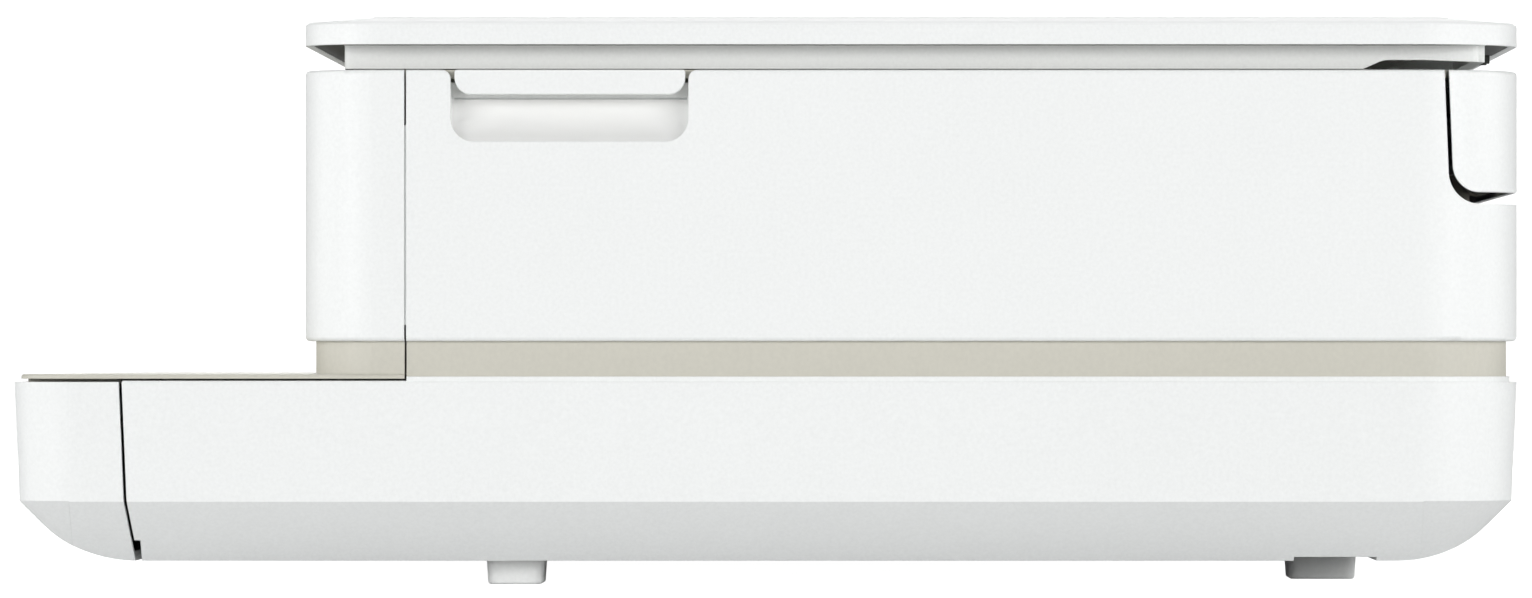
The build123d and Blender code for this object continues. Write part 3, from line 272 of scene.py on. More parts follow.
def make_rolled_metal():
    """Long fine scratches along X, with blotchy plating, for sheet metal and rods."""
    group, ins, outs = new_group(
        "rolled metal",
        [("Depth", "float", 0.15), ("Edge Radius", "float", 0.0001)],
        [("Normal", "vector"), ("Streaks", "float"), ("Plating", "float")],
    )
    place = object_place(group)
    stretched = add_node(group, "ShaderNodeMapping", {"Vector": place, "Scale": (20.0, 2600.0, 2600.0)})
    streaks = noise(group, stretched.outputs[0], 1.0, 3.0)
    edge = add_node(group, "ShaderNodeBevel", {"Radius": ins.outputs["Edge Radius"]}, samples=4)
    normal = bump_normal(group, ins.outputs["Depth"], 0.0001, streaks, Normal=edge.outputs[0])
    group.links.new(normal, outs.inputs["Normal"])
    group.links.new(streaks, outs.inputs["Streaks"])
    group.links.new(cell_distance(group, place, 160.0), outs.inputs["Plating"])
    return group


GROUP_MAKERS = {
    "moulded grain": make_moulded_grain,
    "edge wear": make_edge_wear,
    "fine dust": make_fine_dust,
    "rolled metal": make_rolled_metal,
}


def use_group(tree, name, **inputs):
    """A node group placed in a material, made on first use, with its inputs given in lower_case."""
    group = bpy.data.node_groups.get(name) or GROUP_MAKERS[name]()
    node = tree.nodes.new("ShaderNodeGroup")
    node.node_tree = group
    for key, value in inputs.items():
        node.inputs[key.replace("_", " ").title()].default_value = value
    return node


def new_material(name):
    """A material with its tree, its Principled BSDF and nothing else in it."""
    material = bpy.data.materials.new(name)
    material.use_nodes = True
    tree = material.node_tree
    return material, tree, tree.nodes["Principled BSDF"]


def mix_colours(tree, factor, first, second, blend="MIX"):
    """The output socket of a colour mix."""
    node = tree.nodes.new("ShaderNodeMix")
    node.data_type = "RGBA"
    node.blend_type = blend
    for index, value in ((0, factor), (6, first), (7, second)):
        if isinstance(value, bpy.types.NodeSocket):
            tree.links.new(value, node.inputs[index])
        elif index:
            node.inputs[index].default_value = (*value, 1.0)
        else:
            node.inputs[index].default_value = value
    return node.outputs[2]


def scaled(colour, factor):
    """A colour with its values multiplied."""
    return tuple(min(1.0, channel * factor) for channel in colour)


def plastic(name, colour, roughness, grain=None, depth=None, edge=None, wear=0.35, dust=0.0, coat=0.0):
    """Moulded plastic: grain, soft edges, a slight drift in tone, polished edges and some dust."""
    finish = bpy.context.scene.printer_finish
    material, tree, shader = new_material(name)
    surface = use_group(
        tree,
        "moulded grain",
        grain_size=finish.grain_size if grain is None else grain,
        depth=finish.grain_depth if depth is None else depth,
        edge_radius=finish.edge_radius if edge is None else edge,
    )
    tone = mix_colours(tree, surface.outputs["Variation"], scaled(colour, 0.985), scaled(colour, 1.012))
    pits = mix_colours(tree, surface.outputs["Speckle"], (0.97, 0.97, 0.97), (1.03, 1.03, 1.03))
    tone = mix_colours(tree, 1.0, tone, pits, blend="MULTIPLY")
    worn = use_group(tree, "edge wear", width=0.0005)
    edge_mask = math_node(tree, "MULTIPLY", worn.outputs["Mask"], wear, clamp=True)
    tone = mix_colours(tree, edge_mask, tone, scaled(colour, 1.10 if max(colour) > 0.2 else 1.8))
    rough = math_node(tree, "MULTIPLY_ADD", surface.outputs["Variation"], 0.08, roughness - 0.04)
    rough = math_node(tree, "MULTIPLY_ADD", edge_mask, -0.12, rough, clamp=True)
    if dust:
        film = use_group(tree, "fine dust", amount=dust)
        tone = mix_colours(tree, film.outputs["Mask"], tone, (0.55, 0.54, 0.52))
        rough = math_node(tree, "MULTIPLY_ADD", film.outputs["Mask"], 0.4, rough, clamp=True)
    tree.links.new(tone, shader.inputs["Base Color"])
    tree.links.new(rough, shader.inputs["Roughness"])
    tree.links.new(surface.outputs["Normal"], shader.inputs["Normal"])
    shader.inputs["IOR"].default_value = 1.5
    shader.inputs["Coat Weight"].default_value = coat
    shader.inputs["Coat Roughness"].default_value = 0.15
    return material


def metal(name, colour, roughness, depth=0.15, plating=0.06):
    """Rolled or drawn steel with fine streaks and faint plating blotches."""
    material, tree, shader = new_material(name)
    surface = use_group(tree, "rolled metal", depth=depth)
    tone = mix_colours(tree, surface.outputs["Streaks"], scaled(colour, 0.90), scaled(colour, 1.05))
    blotch = math_node(tree, "MULTIPLY", surface.outputs["Plating"], plating * 6, clamp=True)
    tone = mix_colours(tree, blotch, tone, scaled(colour, 0.80))
    rough = math_node(tree, "MULTIPLY_ADD", surface.outputs["Plating"], plating * 4, roughness, clamp=True)
    tree.links.new(tone, shader.inputs["Base Color"])
    tree.links.new(rough, shader.inputs["Roughness"])
    tree.links.new(surface.outputs["Normal"], shader.inputs["Normal"])
    shader.inputs["Metallic"].default_value = 1.0
    return material


def rubber(name, colour, roughness=0.75, grain=0.0007):
    """Matt rubber with a coarse ground surface and a dry bloom."""
    return plastic(name, colour, roughness, grain=grain, depth=0.35, edge=0.0003, wear=0.5, dust=0.25)


def retint(material, mask, colour, blend="MIX"):
    """Mixes a colour over a finished material's own, where a mask is 1."""
    tree = material.node_tree
    base = tree.nodes["Principled BSDF"].inputs["Base Color"]
    tree.links.new(mix_colours(tree, mask, base.links[0].from_socket, colour, blend=blend), base)


def dress(material, *names):
    """Gives CAD nodes a material."""
    for name in names:
        mesh = NODES[name].data
        mesh.materials.clear()
        mesh.materials.append(material)


# ---- mesh helpers -------------------------------------------------------------------------------------
def finish_piece(name, shape, body, material, smooth_angle=35.0):
    """Turns a bmesh into a piece that rides on a body and its material."""
    bmesh.ops.remove_doubles(shape, verts=shape.verts, dist=1e-6)
    bmesh.ops.recalc_face_normals(shape, faces=shape.faces)
    mesh = bpy.data.meshes.new(name)
    shape.to_mesh(mesh)
    shape.free()
    for polygon in mesh.polygons:
        polygon.use_smooth = True
    mesh.set_sharp_from_angle(angle=radians(smooth_angle))
    piece = bpy.data.objects.new(name, mesh)
    bpy.context.scene.collection.objects.link(piece)
    mesh.materials.append(material)
    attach(piece, body)
    return piece


def round_edges(shape, edges, width, segments):
    """Rounds edges to a width in metres."""
    bmesh.ops.bevel(
        shape,
        geom=edges,
        offset=width,
        affect="EDGES",
        segments=segments,
        profile=0.5,
        material=-1,
        clamp_overlap=True,
    )


def place_box(shape, low, high, bevel=0.0):
    """A box between two corners in millimetres, its edges rounded where asked."""
    centre = [(a + b) / 2 * MM for a, b in zip(low, high)]
    size = [(b - a) * MM for a, b in zip(low, high)]
    matrix = Matrix.Translation(centre) @ Matrix.Diagonal((*size, 1.0))
    made = bmesh.ops.create_cube(shape, size=1.0, matrix=matrix)
    if bevel:
        edges = list({edge for vert in made["verts"] for edge in vert.link_edges})
        round_edges(shape, edges, bevel * MM, 2)


def place_outline(shape, low, high, line, face, depth):
    """A rectangle drawn in thin bars in the XZ plane, its front at the given Y, in millimetres."""
    (x0, z0), (x1, z1) = low, high
    for left, bottom, right, top in (
        (x0, z0, x1, z0 + line),
        (x0, z1 - line, x1, z1),
        (x0, z0, x0 + line, z1),
        (x1 - line, z0, x1, z1),
    ):
        place_box(shape, (left, face, bottom), (right, face + depth, top))


def place_disc(shape, centre, axis, radius, thickness, sides=32, bevel=0.0):
    """A disc or short cylinder about an axis ('X', 'Y' or 'Z'), in millimetres."""
    turns = {"X": Matrix.Rotation(pi / 2, 4, "Y"), "Y": Matrix.Rotation(-pi / 2, 4, "X")}
    turns["Z"] = Matrix.Identity(4)
    matrix = Matrix.Translation([value * MM for value in centre]) @ turns[axis]
    made = bmesh.ops.create_cone(
        shape,
        cap_ends=True,
        segments=sides,
        radius1=radius * MM,
        radius2=radius * MM,
        depth=thickness * MM,
        matrix=matrix,
    )
    if bevel:
        rims = [edge for vert in made["verts"] for edge in vert.link_edges if len(edge.link_faces) == 2]
        rims = [edge for edge in set(rims) if edge.calc_face_angle() > 1.0]
        round_edges(shape, rims, bevel * MM, 2)


def place_arc(shape, centre, radius, line, depth, start, end, steps=24):
    """A flat curved bar in the XZ plane facing -Y, swept from one angle to another, in millimetres."""
    x, y, z = (value * MM for value in centre)
    inner, outer = (radius - line / 2) * MM, (radius + line / 2) * MM
    direction = Vector((cos(start), 0.0, sin(start)))
    corners = []
    for reach, back in ((inner, 0.0), (outer, 0.0), (outer, depth * MM), (inner, depth * MM)):
        corners.append(shape.verts.new(Vector((x, y + back, z)) + direction * reach))
    face = shape.faces.new(corners)
    full = abs(end - start) >= 2 * pi - 1e-6
    bmesh.ops.spin(
        shape,
        geom=[face, *face.verts, *face.edges],
        cent=(x, y, z),
        axis=(0.0, -1.0, 0.0),
        angle=end - start,
        steps=steps,
        use_merge=full,
        use_duplicate=False,
    )
    if full:
        bmesh.ops.delete(shape, geom=[face], context="FACES_ONLY")


# ---- operators ----------------------------------------------------------------------------------------
class PRINTER_OT_housing(bpy.types.Operator):
    """Finish the white outer mouldings"""

    bl_idname = "printer.housing"
    bl_label = "Housing"

    def execute(self, context):
        """White grained plastic, with painted light making the finger pockets paler, and duller on the lid's
        crown.
        """
        finish = context.scene.printer_finish
        white = self.white("housing white", finish)
        dress(white, "base_shell", "tray_front", "front_cover", "rear_cover", "lift_tabs")
        dress(self.shell_material(finish), "upper_shell")
        dress(self.lid_material(finish), "lid_cover")
        return {"FINISHED"}

    def white(self, name, finish):
        """The housing's plain white."""
        return plastic(name, tuple(finish.housing), finish.housing_roughness, wear=0.15)

    def shell_material(self, finish):
        """The housing's white, with a painted highlight that makes the finger pockets paler."""
        material = self.white("upper shell white with painted pocket light", finish)
        tree = material.node_tree
        x, y, z = object_axes(tree)
        pocket_painted_light = 1.0
        for axis, centre, reach in zip((math_node(tree, "ABSOLUTE", x), y, z), POCKET_CENTRE, POCKET_REACH):
            pocket_painted_light = math_node(tree, "MULTIPLY", pocket_painted_light, math_node(tree, "COMPARE", axis, centre, reach))
        # Painted highlight: a paler white in the finger pockets, where the lift tabs cast shade.
        retint(material, pocket_painted_light, (0.97, 0.975, 0.97))
        return material

    def lid_material(self, finish):
        """The housing's white, plain and duller on the crown."""
        material = self.white("lid white", finish)
        tree = material.node_tree
        crown = math_node(tree, "GREATER_THAN", object_axes(tree)[2], CROWN_FOOT)
        retint(material, crown, tuple(finish.housing))
        roughness = tree.nodes["Principled BSDF"].inputs["Roughness"]
        duller = math_node(tree, "MULTIPLY_ADD", crown, 0.15, roughness.links[0].from_socket, clamp=True)
        tree.links.new(duller, roughness)
        return material


class PRINTER_OT_band(bpy.types.Operator):
    """Finish the beige band, shelf and scanner deck"""

    bl_idname = "printer.band"
    bl_label = "Band and shelf"

    def execute(self, context):
        """Beige for the band and the deck, light grey for the lid frame."""
        finish = context.scene.printer_finish
        beige = plastic("band beige", tuple(finish.band), 0.48, grain=0.0007, depth=0.14, wear=0.12)
        dress(beige, "mid_frame", "output_shelf", "output_extender", "output_stop", "scanner_frame")
        grey = plastic("trim light grey", tuple(finish.trim), 0.5, wear=0.1)
        dress(grey, "lid_hinges")
        dress(self.lid_frame_material(finish), "lid_frame")
        return {"FINISHED"}

    def lid_frame_material(self, finish):
        """Light grey with painted light and shade: paler upwards and darker low down, with a painted-shade
        dark foot and dark flange outside the frame's walls.
        """
        material = plastic("lid frame grey with painted light and shade", tuple(finish.trim), 0.5, wear=0.1)
        tree = material.node_tree
        x, y, z = object_axes(tree)
        # Painted shade: the flange outside the frame's walls and the foot below FRAME_FOOT_TOP are tinted
        # near black where they lie in shade under the lid.
        dark = math_node(tree, "GREATER_THAN", math_node(tree, "ABSOLUTE", x), FRAME_SIDE)
        for test, axis, limit in (
            ("LESS_THAN", y, FRAME_FRONT),
            ("GREATER_THAN", y, FRAME_REAR),
            ("LESS_THAN", z, FRAME_FOOT_TOP),
        ):
            dark = math_node(tree, "MAXIMUM", dark, math_node(tree, test, axis, limit))
        # Painted light and shade: the grey is multiplied from 0.86 low down to 1.07 at the top, lighter where
        # the lid's overhang shades it.
        rise = math_node(tree, "MULTIPLY_ADD", z, 160.0, -20.98, clamp=True)
        painted_light_fade = mix_colours(tree, rise, (0.86, 0.86, 0.86), (1.07, 1.07, 1.07))
        retint(material, 1.0, painted_light_fade, blend="MULTIPLY")
        retint(material, dark, (0.024, 0.026, 0.022))
        return material


class PRINTER_OT_panel(bpy.types.Operator):
    """Build the control panel's display and symbols"""

    bl_idname = "printer.panel"
    bl_label = "Control panel"

    def execute(self, context):
        """Glossy bezel, dark display with plain symbols, and a symbol on each button."""
        black = (0.012, 0.012, 0.014)
        gloss = plastic("panel black", black, 0.12, grain=0.002, depth=0.01, wear=0.2, coat=0.6)
        dress(gloss, "panel_bezel")
        glass, tree, shader = new_material("display glass")
        place = object_place(tree)
        rough = math_node(tree, "MULTIPLY_ADD", noise(tree, place, 120.0, 4.0), 0.06, 0.03)
        tree.links.new(rough, shader.inputs["Roughness"])
        shader.inputs["Base Color"].default_value = (0.006, 0.008, 0.012, 1.0)
        shader.inputs["Coat Weight"].default_value = 0.8
        dress(glass, "display_glass")
        keys = plastic("button white", (0.78, 0.79, 0.78), 0.35, grain=0.0004, depth=0.05, wear=0.3)
        dress(keys, "power_button", "wireless_button", "copy_button")
        dress(self.board_material(), "control_board", "main_board")
        self.add_display()
        self.add_symbols(context.scene.printer_details)
        return {"FINISHED"}

    def board_material(self):
        """Green solder mask, black chips and bright solder, told apart by height over the board."""
        material, tree, shader = new_material("circuit board")
        place = object_place(tree)
        lines = math_node(tree, "LESS_THAN", cell_distance(tree, place, 420.0, "MANHATTAN"), 0.22)
        tone = mix_colours(tree, lines, (0.010, 0.085, 0.035), (0.030, 0.16, 0.07))
        y, z = object_axes(tree)[1:]
        above_main = math_node(tree, "GREATER_THAN", z, MAIN_BOARD_FACE)
        below_panel = math_node(tree, "LESS_THAN", z, MAIN_BOARD_CLEAR)
        on_main = math_node(tree, "MULTIPLY", above_main, below_panel)
        on_panel = math_node(tree, "LESS_THAN", y, PANEL_BOARD_FACE)
        chips = math_node(tree, "MAXIMUM", on_main, on_panel)
        tone = mix_colours(tree, chips, tone, (0.012, 0.012, 0.013))
        tree.links.new(tone, shader.inputs["Base Color"])
        rough = math_node(tree, "MULTIPLY_ADD", lines, 0.15, 0.32)
        tree.links.new(rough, shader.inputs["Roughness"])
        surface = use_group(tree, "moulded grain", grain_size=0.0008, depth=0.12, edge_radius=0.0001)
        tree.links.new(surface.outputs["Normal"], shader.inputs["Normal"])
        return material

    def glow(self, name, colour, strength):
        """A lit patch of the display, slightly uneven."""
        material, tree, shader = new_material(name)
        place = object_place(tree)
        dots = add_node(tree, "ShaderNodeTexChecker", {"Vector": place, "Scale": 5200.0})
        tone = mix_colours(tree, dots.outputs["Fac"], colour, scaled(colour, 0.8))
        tree.links.new(tone, shader.inputs["Base Color"])
        tree.links.new(tone, shader.inputs["Emission Color"])
        shader.inputs["Emission Strength"].default_value = strength
        shader.inputs["Roughness"].default_value = 0.3
        return material

    def add_display(self):
        """Ink level bars, a sheet outline and a signal mark behind the display's face."""
        low, high = (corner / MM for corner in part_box("display_glass"))
        face = low[1] - 0.03
        shape = bmesh.new()
        left = low[0] + 8
        for index, level in enumerate((0.9, 0.6, 0.75, 0.5)):
            x = left + index * 4.2
            place_box(shape, (x, face, 100.0), (x + 2.6, face + FILM, 100.0 + 10.0 * level), bevel=0.02)
        blue = self.glow("level blue", (0.10, 0.42, 0.62), 0.5)
        finish_piece("display_ink_levels", shape, "housing", blue)
        shape = bmesh.new()
        x0, z0, x1, z1, line = left + 22, 99.0, left + 31, 111.5, 0.5
        place_outline(shape, (x0, z0), (x1, z1), line, face, FILM)
        for rise, short in ((3, 2), (6, 2), (9, 4)):
            place_box(shape, (x0 + 2, face, z0 + rise), (x1 - short, face + FILM, z0 + rise + line))
        signal = high[0] - 7.5
        for radius in (1.4, 2.8, 4.2):
            place_arc(shape, (signal, face, 103.0), radius, line, FILM, radians(45), radians(135))
        place_disc(shape, (signal, face + FILM / 2, 103.0), "Y", 0.5, FILM, sides=16)
        white = self.glow("symbol white", (0.75, 0.80, 0.82), 0.6)
        finish_piece("display_symbols", shape, "housing", white)

    def add_symbols(self, details):
        """A ring with a bar, a signal fan and two overlapping sheets, one on each button."""
        ink = plastic("symbol grey", (0.12, 0.125, 0.13), 0.5, grain=0.0004, depth=0.05)
        line = details.symbol_line / MM
        radius = details.symbol_height / MM / 2
        fan = radians(45), radians(135)
        for key in ("power", "wireless", "copy"):
            low, high = (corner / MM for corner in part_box(key + "_button"))
            x, z, face = (low[0] + high[0]) / 2, (low[2] + high[2]) / 2, low[1] - 0.02
            shape, deep = bmesh.new(), SYMBOL_DEPTH
            if key == "power":
                place_arc(shape, (x, face, z), radius, line, deep, radians(120), radians(420))
                top = (x + line / 2, face + deep, z + radius + 0.5)
                place_box(shape, (x - line / 2, face, z + 0.4), top)
            elif key == "wireless":
                for step in (0.35, 0.7, 1.05):
                    place_arc(shape, (x, face, z - 1.6), radius * 1.6 * step, line, deep, *fan, steps=12)
                place_disc(shape, (x, face + deep / 2, z - 1.6), "Y", line * 0.7, deep, sides=16)
            else:
                for shift in (-0.7, 0.7):
                    low_corner = (x + shift - 1.3, z + shift - 1.7)
                    high_corner = (x + shift + 1.3, z + shift + 1.7)
                    place_outline(shape, low_corner, high_corner, line, face, deep)
            finish_piece(key + "_button_symbol", shape, key + "_key", ink)


class PRINTER_OT_tray(bpy.types.Operator):
    """Finish the sheet tray and add its friction pad and size marks"""

    bl_idname = "printer.tray"
    bl_label = "Sheet tray"

    def execute(self, context):
        """Grey pan with light guides, a cork pad under the pick roller and raised size marks."""
        finish = context.scene.printer_finish
        pan = plastic("tray grey", tuple(finish.tray), 0.5, grain=0.0008, depth=0.2, wear=0.3, dust=0.12)
        dress(pan, "tray_pan")
        guides = plastic("guide grey", tuple(finish.trim), 0.45, wear=0.3)
        dress(guides, "width_guide_left", "width_guide_right", "length_guide")
        cork = plastic("friction cork", (0.30, 0.17, 0.09), 0.85, grain=0.0012, depth=0.6, wear=0.1)
        shape = bmesh.new()
        place_box(shape, (-22, 50, 12.6), (22, 74, 13.0), bevel=0.15)
        finish_piece("friction_pad", shape, "tray", cork)
        marks = bmesh.new()
        for y in (-150, -132, -104, -86):
            for x in (-60, 36):
                place_box(marks, (x, y, 12.55), (x + 24, y + 0.8, 12.85), bevel=0.1)
                place_box(marks, (x + 11.6, y, 12.55), (x + 12.4, y + 5.0, 12.85), bevel=0.1)
        finish_piece("tray_size_marks", marks, "tray", pan)
        return {"FINISHED"}


class PRINTER_OT_engine(bpy.types.Operator):
    """Finish the print engine and add its star wheels, encoder strip and cap foam"""

    bl_idname = "printer.engine"
    bl_label = "Print engine"

    def execute(self, context):
        """Black mouldings, plated steel, rubber rollers and belts, and the fine pieces."""
        engine = tuple(context.scene.printer_finish.engine)
        black = plastic("engine black", engine, 0.45, grain=0.0007, depth=0.2, wear=0.35, dust=0.12)
        dress(black, "carriage", "platen", "star_wheel_bar", "rear_paper_guide", "power_supply")
        dress(black, "scanner_pan", "scan_bar", "power_inlet")
        grey = plastic("engine grey", (0.10, 0.105, 0.11), 0.45, grain=0.0007, depth=0.2, wear=0.35, dust=0.1)
        dress(grey, "service_station", "pick_arm")
        plate = metal("plated steel", (0.62, 0.63, 0.64), 0.32)
        dress(plate, "chassis_left", "chassis_right", "carriage_beam", "usb_port", "housing_screws")
        rod = metal("polished steel", (0.75, 0.75, 0.76), 0.12, depth=0.03, plating=0.01)
        dress(rod, "carriage_rod", "scan_rail")
        can = metal("motor can", (0.50, 0.50, 0.51), 0.28, depth=0.08)
        dress(can, "carriage_motor", "feed_motor")
        gears = plastic("gear white", (0.74, 0.73, 0.68), 0.38, grain=0.0004, depth=0.05, wear=0.2)
        dress(gears, "guide_pinion", "feed_gear", "motor_pinion", "carriage_pulley", "idler_pulley")
        belt = rubber("belt rubber", (0.016, 0.016, 0.017))
        dress(belt, "carriage_belt", "transfer_belt", "cap_seals")
        dress(self.roller_material(), "feed_roller", "discharge_roller")
        dress(rubber("pick rubber", (0.09, 0.09, 0.095), 0.7, grain=0.0005), "pick_roller")
        self.add_star_wheels(context.scene.printer_details)
        self.add_encoder_strip()
        self.add_capping_foam()
        return {"FINISHED"}

    def roller_material(self):
        """Steel shaft with rubber sleeves, told apart by the distance from the shaft's axis."""
        material, tree, shader = new_material("roller rubber and steel")
        y, z = object_axes(tree)[1:]
        reach = 1.0
        dz = math_node(tree, "SUBTRACT", z, ROLLER_AXIS_Z)
        for centre in ROLLER_AXES_Y:
            dy = math_node(tree, "SUBTRACT", y, centre)
            square = math_node(tree, "MULTIPLY_ADD", dy, dy, math_node(tree, "MULTIPLY", dz, dz))
            reach = math_node(tree, "MINIMUM", reach, square)
        sleeve = math_node(tree, "GREATER_THAN", reach, SHAFT_REACH**2)
        grit = use_group(tree, "moulded grain", grain_size=0.0005, depth=0.3, edge_radius=0.0002)
        tone = mix_colours(tree, sleeve, (0.70, 0.70, 0.71), (0.030, 0.030, 0.032))
        tone = mix_colours(tree, grit.outputs["Variation"], tone, (0.5, 0.5, 0.5), blend="SOFT_LIGHT")
        tree.links.new(tone, shader.inputs["Base Color"])
        tree.links.new(math_node(tree, "MULTIPLY_ADD", sleeve, 0.5, 0.2), shader.inputs["Roughness"])
        tree.links.new(math_node(tree, "SUBTRACT", 1.0, sleeve), shader.inputs["Metallic"])
        tree.links.new(grit.outputs["Normal"], shader.inputs["Normal"])
        return material

    def add_star_wheels(self, details):
        """Thin pointed wheels over the discharge roller."""
        steel = metal("star wheel steel", (0.70, 0.70, 0.71), 0.25, depth=0.02)
        shape = bmesh.new()
        thickness, notch = 0.0003, 0.82
        for x in range(-96, 97, 32):
            centre = Vector((x * MM - thickness / 2, *STAR_WHEEL_AXIS))
            made = bmesh.ops.create_circle(
                shape,
                cap_ends=True,
                segments=2 * details.star_points,
                radius=details.star_radius,
                matrix=Matrix.Translation(centre) @ Matrix.Rotation(pi / 2, 4, "Y"),
            )
            hollows = made["verts"][::2]
            bmesh.ops.scale(shape, vec=(1.0, notch, notch), space=Matrix.Translation(-centre), verts=hollows)
            face = made["verts"][0].link_faces[0]
            raised = bmesh.ops.extrude_face_region(shape, geom=[face])
            moved = [item for item in raised["geom"] if isinstance(item, bmesh.types.BMVert)]
            bmesh.ops.translate(shape, vec=(thickness, 0.0, 0.0), verts=moved)
        finish_piece("star_wheels", shape, "housing", steel)

    def add_encoder_strip(self):
        """The fine ruled strip that the carriage reads along its travel."""
        film, tree, shader = new_material("encoder film")
        place = object_place(tree)
        rules = stripes(tree, place, 900.0, "X")
        tone = mix_colours(tree, rules, (0.35, 0.34, 0.30), (0.05, 0.05, 0.05))
        tree.links.new(tone, shader.inputs["Base Color"])
        shader.inputs["Roughness"].default_value = 0.2
        shape = bmesh.new()
        place_box(shape, (-165.8, 78.2, 99.2), (198.8, 78.5, 103.6))
        for x0, x1 in ((-166.0, -160.0), (193.0, 199.0)):
            place_box(shape, (x0, 78.1, 99.8), (x1, 81.1, 103.0), bevel=0.2)
        finish_piece("encoder_strip", shape, "housing", film)

    def add_capping_foam(self):
        """Ink-stained wicking foam in the two caps."""
        foam, tree, shader = new_material("cap foam")
        place = object_place(tree)
        stain = noise(tree, place, 90.0, 4.0)
        tone = mix_colours(tree, stain, (0.30, 0.30, 0.31), (0.03, 0.03, 0.05))
        normal = bump_normal(tree, 0.6, 0.0003, cell_distance(tree, place, 1500.0))
        tree.links.new(tone, shader.inputs["Base Color"])
        tree.links.new(normal, shader.inputs["Normal"])
        shader.inputs["Roughness"].default_value = 0.95
        shape = bmesh.new()
        low, high = (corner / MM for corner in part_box("carriage"))
        centre = (low[0] + high[0]) / 2
        for offset in (-15.6, 15.6):
            x = centre + offset
            place_box(shape, (x - 6.3, 7.7, 68.4), (x + 6.3, 40.3, 69.0), bevel=0.15)
        finish_piece("cap_foam", shape, "housing", foam)


class PRINTER_OT_cartridges(bpy.types.Operator):
    """Finish the two cartridges and add contacts, films and colour marks"""

    bl_idname = "printer.cartridges"
    bl_label = "Cartridges"

    def execute(self, context):
        """Dark shells with gold contacts and nozzle plates, a plain film and colour dots."""
        dark = plastic("cartridge black", (0.020, 0.020, 0.022), 0.35, grain=0.0005, depth=0.08, wear=0.3)
        mid = plastic("cartridge grey", (0.085, 0.088, 0.095), 0.35, grain=0.0005, depth=0.08, wear=0.3)
        dress(dark, "black_cartridge")
        dress(mid, "color_cartridge")
        gold = metal("contact gold", (0.83, 0.60, 0.25), 0.25, depth=0.03)
        marks = {
            "black_cartridge": [(0.015, 0.015, 0.016)],
            "color_cartridge": [(0.02, 0.30, 0.55), (0.55, 0.03, 0.20), (0.80, 0.62, 0.03)],
        }
        for node, body in (("black_cartridge", "black_ink"), ("color_cartridge", "color_ink")):
            low, high = (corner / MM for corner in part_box(node))
            x = (low[0] + high[0]) / 2
            shape = bmesh.new()
            for column in range(-3, 4):
                for row in range(4):
                    left, z = x + column * 2.6 - 0.8, 76.5 + row * 2.6
                    place_box(shape, (left, 47.9, z), (left + 1.6, 48.15, z + 1.6), bevel=0.08)
            place_box(shape, (x - 5.0, 14.0, 71.72), (x + 5.0, 34.0, 71.95), bevel=0.05)
            finish_piece(node + "_contacts", shape, body, gold)
            label = bmesh.new()
            place_box(label, (x - 9, 2.0, 99.9), (x + 9, 40.0, 100.08), bevel=0.05)
            film = plastic(node + " film", (0.55, 0.56, 0.57), 0.3, grain=0.0008, depth=0.03)
            finish_piece(node + "_film", label, body, film)
            for index, colour in enumerate(marks[node]):
                dot = bmesh.new()
                place_disc(dot, (x, 10.0 + 8.0 * index, 100.13), "Z", 2.4, 0.12, sides=32, bevel=0.03)
                ink = plastic(f"{node} mark {index}", colour, 0.35, grain=0.0006, depth=0.03)
                finish_piece(f"{node}_mark_{index}", dot, body, ink)
        return {"FINISHED"}


class PRINTER_OT_scanner(bpy.types.Operator):
    """Finish the scanner's glass and add its lenses, belt and reference strip"""

    bl_idname = "printer.scanner"
    bl_label = "Scanner"

    def execute(self, context):
        """Clear glass, two lens rows on the scan bar, a white reference strip and a belt."""
        glass, tree, shader = new_material("scanner glass")
        place = object_place(tree)
        rough = math_node(tree, "MULTIPLY", noise(tree, place, 30.0, 5.0), 0.03)
        tree.links.new(rough, shader.inputs["Roughness"])
        shader.inputs["Base Color"].default_value = (0.90, 0.97, 0.94, 1.0)
        shader.inputs["Transmission Weight"].default_value = 1.0
        shader.inputs["IOR"].default_value = 1.5
        dress(glass, "scanner_glass")
        lens, tree, shader = new_material("sensor lens")
        place = object_place(tree)
        tone = mix_colours(tree, stripes(tree, place, 700.0, "Y"), (0.30, 0.42, 0.40), (0.55, 0.66, 0.63))
        tree.links.new(tone, shader.inputs["Base Color"])
        shader.inputs["Roughness"].default_value = 0.15
        shape = bmesh.new()
        place_box(shape, (-180.5, -78, 126.2), (-178.9, 130, 126.5), bevel=0.1)
        place_box(shape, (-173.1, -78, 126.2), (-171.5, 130, 126.5), bevel=0.1)
        finish_piece("sensor_lens", shape, "scan_head", lens)
        white = plastic("reference white", (0.80, 0.80, 0.79), 0.6)
        shape = bmesh.new()
        place_box(shape, (-181.5, -80, 127.0), (-176.0, 132, 127.35))
        finish_piece("reference_strip", shape, "scanner", white)
        belt = rubber("scan belt rubber", (0.016, 0.016, 0.017))
        shape = bmesh.new()
        for z in (110.2, 118.4):
            place_box(shape, (-186, 40.0, z - 0.5), (120, 44.0, z + 0.5), bevel=0.1)
        for x in (-186, 120):
            place_disc(shape, (x, 42.0, 114.3), "Y", 4.6, 4.0, sides=32)
        finish_piece("scan_belt", shape, "scanner", belt)
        return {"FINISHED"}


